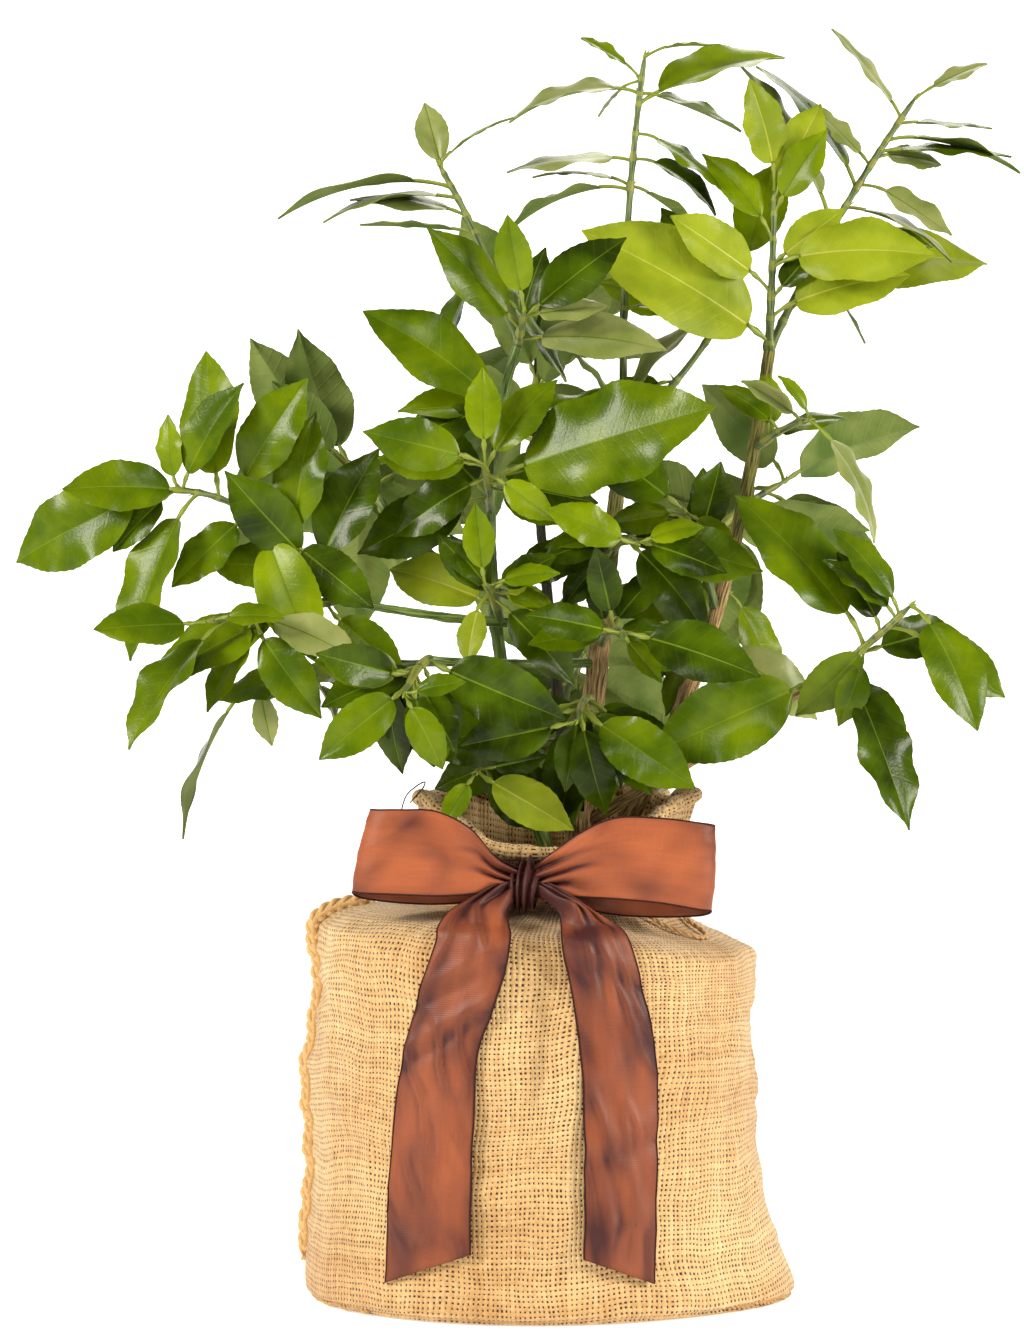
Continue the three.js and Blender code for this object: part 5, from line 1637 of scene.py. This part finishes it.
# Shares of leaves in each mass that take the pale grey-green of painted sheen.
PAINTED_SHEEN_SHARES = {
    "left_spire": 0.75, "crown_top": 0.5, "crown_right": 0.5, "left_fork": 0.25, "left_lower": 0.15,
    "left_hang": 0.3, "right_mid": 0.4, "back_right": 0.3, "right_lowmid": 0.2, "right_low": 0.1,
}
USUAL_PAINTED_SHEEN = 0.0
FINE_YOUNGER = 0.2
TIP_SHARE = 0.98
TIP_LEAF = 45
SEEN_TONES = {
    ("collar_front", 1.0): YOUNG, ("front_low", 0.53): DARK, ("front_low", 0.77): MID,
    ("left_mid", 0.65): MID, ("left_mid", 0.3): DARK, ("left_upper", 1.0): MID, ("left_upper", 0.67): FRESH,
    ("left_upper", 0.78): MID, ("left_upper", 0.56): MID, ("left_upper", 0.45): FRESH,
    ("low_front_left", 0.1): DARK, ("low_front_left", 0.78): MID, ("low_front_left", 1.0): MID,
    ("right_low", 0.08): MID, ("right_low", 0.51): MID, ("centre_mid", 0.77): MID, ("left_lower", 0.28): MID,
}


def tone_of(name, leaf, lot):
    """Which green a leaf takes: dark, mid, fresh, young, or a pale grey-green as painted sheen."""
    has_painted_sheen = lot() < PAINTED_SHEEN_SHARES.get(name, USUAL_PAINTED_SHEEN)
    chance = lot() - (FINE_YOUNGER if leaf.get("fine") else 0)
    place = (name, round(leaf["t"], 2))
    if place in SEEN_TONES:
        return SEEN_TONES[place]
    if has_painted_sheen:
        return PAINTED_SHEEN
    limits = AGE_AND_SHADE_LIMITS.get(name, USUAL_AGE_AND_SHADE_LIMITS)
    tone = sum(chance > limit for limit in limits)
    at_tip = leaf["t"] > TIP_SHARE and leaf["length"] < TIP_LEAF
    return max(tone, FRESH) if at_tip else tone


print("leaves with a given tone:", len(SEEN_TONES))


# %% [markdown]
# ## A leaf blade
# The blade is a closed, thin form: a top and an underside that meet in a wavy, notched edge. It
# is folded up along a sunken midrib, its side veins press faint valleys into it, its margin
# waves and its tip is drawn to a point. All of this is in the mesh, because a flat outline with
# a picture on it would give no glints where the veins turn the surface.

# %% Blade
TOOTH_MM = 4.4
TOOTH_DEPTH = 0.2
BLADE_THICK = 0.45
RIB_HALF = 0.5
VEIN_SPACE = 7.0
VEIN_DEPTH = 0.08
TIP_TAPER = 0.45
RIB_SINK = 0.3
RIB_THICKER = 0.35
FULLER = 0.25
TEETH_FROM = 0.25
TEETH_TO = 0.97
LEAST_HALF = 0.35
MARGIN_WAVES = (1.5, 1.5)
MARGIN_WAVE = (0.05, 0.09)
CURL = (0.1, 0.16)
COLUMNS = np.array([-1, -0.82, -0.55, -0.28, -0.1, 0.1, 0.28, 0.55, 0.82, 1])


def blade_part(leaf, top, lot):
    """One leaf's blade as a loft of thin rings."""
    steps = 2 * max(7, round(leaf["length"] / TOOTH_MM))
    share = np.arange(steps + 1) / steps
    spine, up, half = blade_lines(leaf, steps, FULLNESS - FULLER * lot() + TIP_TAPER * share**3)
    toothed = (share > TEETH_FROM) * (share < TEETH_TO)
    teeth = TOOTH_DEPTH * np.where(np.arange(steps + 1) % 2, 1, -1) * toothed
    half = np.maximum(half + teeth, LEAST_HALF)
    rib = np.minimum(RIB_HALF * (1.15 - share) / half, 0.16)
    v = np.repeat(COLUMNS[None], steps + 1, 0)
    v[:, 4], v[:, 5] = -rib, rib
    reach = np.abs(v)
    on_rib = reach <= rib[:, None] * 1.01
    veins = leaf["length"] / VEIN_SPACE
    wave_count, wave_start = MARGIN_WAVES[0] + MARGIN_WAVES[1] * lot(), 6.3 * lot()
    wave_size = MARGIN_WAVE[0] + MARGIN_WAVE[1] * lot()
    curl = CURL[0] + CURL[1] * lot()
    cup = half[:, None] * (math.sin(leaf["fold"]) * reach - curl * reach**2)
    margin = wave_size * half[:, None] * reach**3
    cup += margin * np.sin(2 * np.pi * wave_count * share[:, None] + wave_start + 1.9 * (v > 0))
    slant = (share[:, None] - 0.6 * reach * half[:, None] / leaf["length"]) * veins
    valley = np.clip(np.cos(2 * np.pi * slant), 0, 1) ** 2
    cup += VEIN_DEPTH * (0.6 - valley) * (1 - reach**4) * ~on_rib
    cup -= np.where(on_rib, RIB_SINK, 0)
    spread = half[:, None] * v * math.cos(leaf["fold"] * 0.9)
    top_face = spine[:, None] + spread[..., None] * leaf["across"] + cup[..., None] * up[:, None]
    thick = BLADE_THICK * (1 - 0.45 * reach) + np.where(on_rib, RIB_THICKER, 0)
    under = top_face - thick[..., None] * up[:, None]
    rings = np.concatenate([top_face, under[:, ::-1]], 1)
    count = len(COLUMNS)
    young = top == YOUNG
    look = np.full(2 * count, top)
    look[count // 2 - 1] = RIB_YOUNG if young else RIB_OLD
    look[count:] = UNDER_YOUNG if young else UNDER_OLD
    look[2 * count - 1] = top
    flat = np.stack([slant, v], -1)
    uv = np.concatenate([flat, flat[:, ::-1], flat[:, :1]], 1)
    return loft_part(rings, np.repeat(look[None], steps, 0), uv)


print("points round a blade:", 2 * len(COLUMNS))

# %% Petiole
WING_AT = 0.72
PETIOLE_RADIUS = 0.55
PETIOLE_STOUTER = 0.006


def petiole_part(leaf, look):
    """The stalk from the stem to the blade, with the narrow wings of a lime's leaf."""
    t = np.linspace(0, 1, 9)[:, None]
    foot = leaf["foot"] + 0.8 * leaf["way"]
    line = (1 - t) ** 2 * leaf["node"] + 2 * t * (1 - t) * leaf["root"] + t**2 * foot
    swell = 1 + 0.9 * np.exp(-(((t[:, 0] - WING_AT) / 0.14) ** 2)) + 0.5 * np.exp(-((t[:, 0] / 0.12) ** 2))
    radii = (PETIOLE_RADIUS + PETIOLE_STOUTER * leaf["length"]) * swell
    flat = 1 - 0.45 * np.exp(-(((t[:, 0] - WING_AT) / 0.16) ** 2))
    return loft_part(tube_rings(line, radii, 8, side=leaf["across"], flat=flat), look)


# %% [markdown]
# ## Green stems
# The young wood of a lime is green and faintly angled, with paler lines along it, and yellowish
# where each leaf leaves it. Small buds and thorns sit in the axils. Each mass gets one piece of
# twigs: its stem, its petioles, its buds and its thorns.

# %% Stem materials
STRIPES_A_MM = 0.9
STRIPE_LONG_MM = 16


def stem_material(name, dark, light, roughness):
    """Living bark: stripes along the stem, with a slight gloss."""
    material, shader = new_material(name, Roughness=roughness, IOR=1.45)
    uv = add_node(material, "UVMap", uv_map=SURFACE)
    long = add_node(material, "Mapping", {0: uv, 3: (STRIPES_A_MM, 1 / STRIPE_LONG_MM, 1)})
    stripes = add_node(material, "TexNoise", {"Vector": long, "Scale": 1.0, "Detail": 4.0})
    share = add_node(material, "MapRange", [stripes, 0.38, 0.66])
    striped = add_node(material, "Mix", {0: share, 6: dark, 7: light}, data_type="RGBA")
    bump = add_node(material, "Bump", {"Height": stripes, "Strength": 0.5, "Distance": 0.3 * MM})
    dress(material, shader, striped, bump)
    return material


TWIG_MATERIALS = [
    stem_material("green stem with pale lines", "#2c3f0e", "#76854a", 0.5),
    stem_material("petiole, yellow-green", "#5f6e0e", "#87932a", 0.45),
    stem_material("node, yellowish", "#646c22", "#8a8c3e", 0.5),
]
STEM, PETIOLE, NODE = range(3)
print("twig finishes:", len(TWIG_MATERIALS))

# %% Stems, buds and thorns
STEM_SIDES = 12
STEM_RING_MM = 2.5
NODE_LONG = 2.2
NODE_SWELL = 0.28
NODE_RING = 0.75
BASE_LONG = 6
STEM_ANGLES = 3
ANGLE_DEPTH = 0.07


def stem_part(stem, nodes, base):
    """A stem with angles and swollen nodes, wider where it leaves its limb."""
    count = max(8, round(stem["length"] / STEM_RING_MM))
    t = np.linspace(0, 1, count + 1)
    line = np.array([stem["at"](s) for s in t])
    radii = np.array([stem_radius(s) for s in t])
    radii += max(0.4, base - STEM_RADIUS[0]) * np.exp(-t * stem["length"] / BASE_LONG)
    swell = np.zeros_like(t)
    for node in nodes:
        swell += np.exp(-(((t - node) * stem["length"] / NODE_LONG) ** 2))
    radii *= 1 + NODE_SWELL * np.minimum(swell, 1)
    radii[-2:] *= (0.75, 0.35)
    turns = 2 * np.pi * np.arange(STEM_SIDES) / STEM_SIDES
    angled = 1 + ANGLE_DEPTH * np.cos(STEM_ANGLES * turns[None] + 5 * t[:, None])
    looks = np.where(swell[:-1] > NODE_RING, NODE, STEM)[:, None].repeat(STEM_SIDES, 1)
    return loft_part(tube_rings(line, radii[:, None] * angled, STEM_SIDES, side=stem["side"]), looks)


def spike_part(root, way, length, radius, look):
    """A bud or a thorn: a short tapering spike."""
    line = root + np.array([0, 0.25, 0.6, 1.0])[:, None] * length * way
    radii = radius * np.array([0.8, 1.0, 0.6, 0.12])
    return loft_part(tube_rings(line, radii, 6, side=(0.1, 0.9, 0.3)), look)


# %% Make each mass
SHARP_EDGE = 55
THORN_CHANCE = 0.35
THORN_RADIUS = 0.5
BUD_RADIUS = 0.9
TIP_BUD = (4.5, 1.1)
triangles = 0
for index, (name, own) in enumerate(MASSES.items()):
    lot = lot_of(SEED * LOOK_LOTS + index)
    stem = stems[name]
    nodes = sorted({round(leaf["t"], 4) for leaf in leaves[name]})
    limb_name, limb_share = own["on"]
    base = limb_radius(limbs[limb_name], limb_share) if limb_share == 1 else 0
    twig_parts = [stem_part(stem, nodes, base)]
    blade_parts = []
    for leaf in leaves[name]:
        blade_parts.append(blade_part(leaf, tone_of(name, leaf, lot), lot))
        twig_parts.append(petiole_part(leaf, PETIOLE))
        axil = unit(0.6 * stem["way"](leaf["t"]) + 0.7 * unit(leaf["root"] - leaf["node"]))
        start = leaf["node"] + 0.8 * axil
        if lot() < THORN_CHANCE:
            twig_parts.append(spike_part(start, axil, 3 + 4 * lot(), THORN_RADIUS, PETIOLE))
        else:
            twig_parts.append(spike_part(start, axil, 2.2 + lot(), BUD_RADIUS, NODE))
    twig_parts.append(spike_part(stem["at"](0.995), stem["way"](1), *TIP_BUD, PETIOLE))
    blades = piece_of("leaves_" + name, blade_parts, LEAF_MATERIALS, sharp=SHARP_EDGE)
    piece_of("twigs_" + name, twig_parts, TWIG_MATERIALS)
    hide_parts(name)
    triangles += 2 * sum(len(part["quads"]) for part in blade_parts + twig_parts)
print("triangles in the foliage:", triangles)

# %% [markdown]
# ## Trunk, stems and boughs
# The old wood is tan and knobbly, with lines along it and scars where leaves once stood. It
# greens towards the crown. The limbs at the back are painted near black, as painted shade. Each
# limb starts as a cylinder that is cut into rings and drawn onto its curve, with knobs and
# ridges as moves of its points, and a Displace modifier then roughens its skin.

# %% Bark
TAN_UNTIL = 0.325
GREEN_FROM = 0.37
CRACKS_A_MM = 0.75
CRACK_LONG_MM = 11
BLOTCH_MM = 16.67
BLOTCH_REACH = 0.12


def bark_material(name, tan_dark, tan_light, green_dark, green_light):
    """Young citrus bark: tan and cracked low down, olive and smoother towards the crown."""
    material, shader = new_material(name, Roughness=0.75, IOR=1.45)
    place = add_node(material, "TexCoord").outputs["Object"]
    uv = add_node(material, "UVMap", uv_map=SURFACE)
    long = add_node(material, "Mapping", {0: uv, 3: (CRACKS_A_MM, 1 / CRACK_LONG_MM, 1)})
    cracks = add_node(material, "TexNoise", {"Vector": long, "Scale": 1.0, "Detail": 6.0})
    depth = add_node(material, "MapRange", [cracks, 0.36, 0.62])
    old = add_node(material, "Mix", {0: depth, 6: tan_dark, 7: tan_light}, data_type="RGBA")
    new = add_node(material, "Mix", {0: depth, 6: green_dark, 7: green_light}, data_type="RGBA")
    up = add_node(material, "SeparateXYZ", [place]).outputs["Z"]
    blotch = add_node(material, "TexNoise", {"Vector": place, "Scale": 1 / (BLOTCH_MM * MM), "Detail": 3.0})
    uneven = add_node(material, "Math", [blotch, BLOTCH_REACH, up], operation="MULTIPLY_ADD")
    middle = BLOTCH_REACH / 2
    age = add_node(material, "MapRange", [uneven, TAN_UNTIL + middle, GREEN_FROM + middle])
    skin = add_node(material, "Mix", {0: age, 6: old, 7: new}, data_type="RGBA")
    bump = add_node(material, "Bump", {"Height": depth, "Strength": 0.8, "Distance": 0.7 * MM})
    dress(material, shader, skin, bump)
    return material


BARK = bark_material("citrus bark, tan to olive", "#4f3d1c", "#c2a06a", "#2d2c0c", "#8b8538")
# The back limbs are given a near-black bark as painted shade.
BARK_IN_PAINTED_SHADE = bark_material("citrus bark, near black as painted shade", "#16130c", "#3c3620", "#12140a", "#2e3418")
GREEN_BARK = stem_material("green bark with pale lines", "#2c4a0c", "#7f9440", 0.45)
LIMB_BARK = {
    "stem_back": BARK_IN_PAINTED_SHADE, "bough_back_left": BARK_IN_PAINTED_SHADE, "bough_back_right": BARK_IN_PAINTED_SHADE,
    "stem_left": GREEN_BARK, "bough_left": GREEN_BARK, "bough_low": GREEN_BARK,
}
print("limbs that aren't tan:", len(LIMB_BARK))

# %% A cylinder in rings
LIMB_SIDES = 24
LIMB_RING_MM = 2.6
MOST_CUTS = 100


def ringed_cylinder(name, length):
    """A cylinder of radius and height 1, cut across into rings for a limb of this length."""
    bpy.ops.object.select_all(action="DESELECT")
    bpy.ops.mesh.primitive_cylinder_add(
        vertices=LIMB_SIDES, radius=1, depth=1, end_fill_type="TRIFAN", calc_uvs=False
    )
    piece = bpy.context.object
    piece.name = name
    bpy.ops.object.mode_set(mode="EDIT")
    bpy.ops.mesh.select_mode(type="EDGE")
    bpy.ops.mesh.select_all(action="DESELECT")
    bpy.ops.object.mode_set(mode="OBJECT")
    mesh = piece.data
    for edge in mesh.edges:
        a, b = (mesh.vertices[i].co for i in edge.vertices)
        edge.select = abs(a.z - b.z) > 0.5
    bpy.ops.object.mode_set(mode="EDIT")
    bpy.ops.mesh.subdivide(number_cuts=min(MOST_CUTS, round(length / LIMB_RING_MM)))
    bpy.ops.object.mode_set(mode="OBJECT")
    return piece


# %% Limbs with relief
SCAR_SPACE = 24
SCAR_TURN = 2.4
SCAR_SWELL = 0.3
RIDGE_SWELL = 0.09
RIDGE_LONG = 30
SKIN_RELIEF = 0.7
BARK_GRAIN_MM = 3.5
bark_noise = bpy.data.textures.new("bark_grain", "CLOUDS")
bark_noise.noise_scale = BARK_GRAIN_MM * MM
bark_noise.noise_depth = 3


def draw_onto(mesh, limb):
    """Moves a cylinder onto its limb. Gives each point's place round and along it."""
    curve, length = limb["curve"], limb["curve"]["length"]
    marks = []
    for vertex in mesh.vertices:
        x, y, z = vertex.co
        t = z + 0.5
        turn, out = math.atan2(y, x), math.hypot(x, y)
        way = curve["way"](t)
        side = unit(curve["side"] - way * (curve["side"] @ way))
        over = np.cross(way, side)
        run = t * length
        marks.append((turn, run))
        ridge = noise.noise(Vector((3 * math.cos(turn), 3 * math.sin(turn), run / RIDGE_LONG)))
        at_scar = math.exp(-(((run % SCAR_SPACE) - SCAR_SPACE / 2) / 3) ** 2)
        scar = at_scar * max(0, math.cos(turn - SCAR_TURN * math.floor(run / SCAR_SPACE))) ** 2
        reach = out * limb_radius(limb, t) * (1 + RIDGE_SWELL * ridge + SCAR_SWELL * scar)
        place = curve["at"](t) + reach * (math.cos(turn) * side + math.sin(turn) * over)
        place[2] = max(place[2], COMPOST_TOP + GAP)
        vertex.co = Vector(place * MM)
    return marks


print("relief of the bark at most, in mm:", round(SKIN_RELIEF * 0.5, 2))

# %% Limb pieces


def limb_piece(name, limb):
    """A limb with its bark: a ringed cylinder, drawn onto the limb's curve and roughened."""
    piece = ringed_cylinder(name + "_bark", limb["curve"]["length"])
    mesh = piece.data
    marks = draw_onto(mesh, limb)
    layer = mesh.uv_layers.new(name=SURFACE)
    for face in mesh.polygons:
        angles = [marks[i][0] for i in face.vertices]
        crosses = max(angles) - min(angles) > math.pi
        for loop, i, angle in zip(face.loop_indices, face.vertices, angles):
            whole = 2 * math.pi if crosses and angle < 0 else 0
            layer.data[loop].uv = ((angle + whole) * limb["radius"][0], marks[i][1])
    mesh.shade_smooth()
    roughen = {"strength": SKIN_RELIEF * MM, "mid_level": 0.5, "texture_coords": "LOCAL"}
    apply_modifier(piece, "DISPLACE", "skin", texture=bark_noise, **roughen)
    bark = LIMB_BARK.get(name, BARK)
    mesh.materials.append(bark)
    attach(piece, BODY)
    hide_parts(name)


for name, limb in limbs.items():
    limb_piece(name, limb)
print("limbs made:", len(limbs))

# %% [markdown]
# ## Floor, backdrop and light
# The plant stands on a white light table before a lit white backdrop, as cut-out pictures of
# plants are taken. A soft light stands at each side in front, so both flanks of the sack are
# bright and its middle is darker. A third hangs high behind and catches the leaves' edges. The
# rest of the room is dim, which keeps the waxy leaves deep green where they mirror it.

# %% Floor and backdrop
TABLE_SIZE = 9.6
TABLE_GLOW = 0.45
BACKDROP_AWAY = 4.6
BACKDROP_SIZE = 7.8


def glowing_white(name, glow):
    """White acrylic or cloth with light behind it."""
    material, _ = new_material(
        name, Roughness=0.9, Base_Color="#f4f4f2", Emission_Color="#ffffff", Emission_Strength=glow
    )
    return material


bpy.ops.object.select_all(action="DESELECT")
bpy.ops.mesh.primitive_plane_add(size=TABLE_SIZE, location=(0, 0, -0.3 * MM))
table = bpy.context.object
table.name = "light_table"
table.data.materials.append(glowing_white("white acrylic, lit from below", TABLE_GLOW))
bpy.ops.mesh.primitive_plane_add(
    size=BACKDROP_SIZE, location=(0, BACKDROP_AWAY, 0.4), rotation=(math.radians(90), 0, 0)
)
backdrop = bpy.context.object
backdrop.name = "backdrop"
backdrop.data.materials.append(glowing_white("white backdrop, lit from behind", 1.0))
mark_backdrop(table, backdrop)
print("backdrop behind the plant in m:", BACKDROP_AWAY)

# %% Lights
CROWN_CENTRE = (0, 0, 0.33)
WARM_WHITE = (1.0, 0.95, 0.86)
ROOM_GLOW = 0.22
LIGHTS = {
    "key_left": {"place": (-1.75, -0.95, 1.2), "size": 0.6, "power": 50},
    "key_right": {"place": (1.8, -0.85, 0.8), "size": 0.6, "power": 40},
    "front_high": {"place": (0.25, -1.7, 1.6), "size": 0.35, "power": 9},
    "rim": {"place": (0.3, 1.3, 1.9), "size": 0.9, "power": 14},
}


def soft_light(name, place, size, power):
    """A square soft light, slightly warm, that looks at the middle of the plant."""
    bpy.ops.object.light_add(type="AREA", location=place)
    light = bpy.context.object
    light.name = name
    light.data.size = size
    light.data.energy = power
    light.data.color = WARM_WHITE
    light.rotation_euler = (Vector(CROWN_CENTRE) - Vector(place)).to_track_quat("-Z", "Y").to_euler()


for name, light in LIGHTS.items():
    soft_light(name, **light)
world = bpy.data.worlds.new("dim room")
world.use_nodes = True
world.node_tree.nodes["Background"].inputs["Color"].default_value = (*WARM_WHITE, 1)
world.node_tree.nodes["Background"].inputs["Strength"].default_value = ROOM_GLOW
bpy.context.scene.world = world
bpy.context.scene.view_settings.view_transform = "Standard"
print("lights:", len(LIGHTS))

# %% Write both boxes and finish
VISUAL_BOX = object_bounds()
for axis, name in enumerate("xyz"):
    cad = [round(corner[axis] * 1000, 1) for corner in CAD_BOX]
    seen = [round(corner[axis] * 1000, 1) for corner in VISUAL_BOX]
    print(name, "frame", cad, "looks", seen)
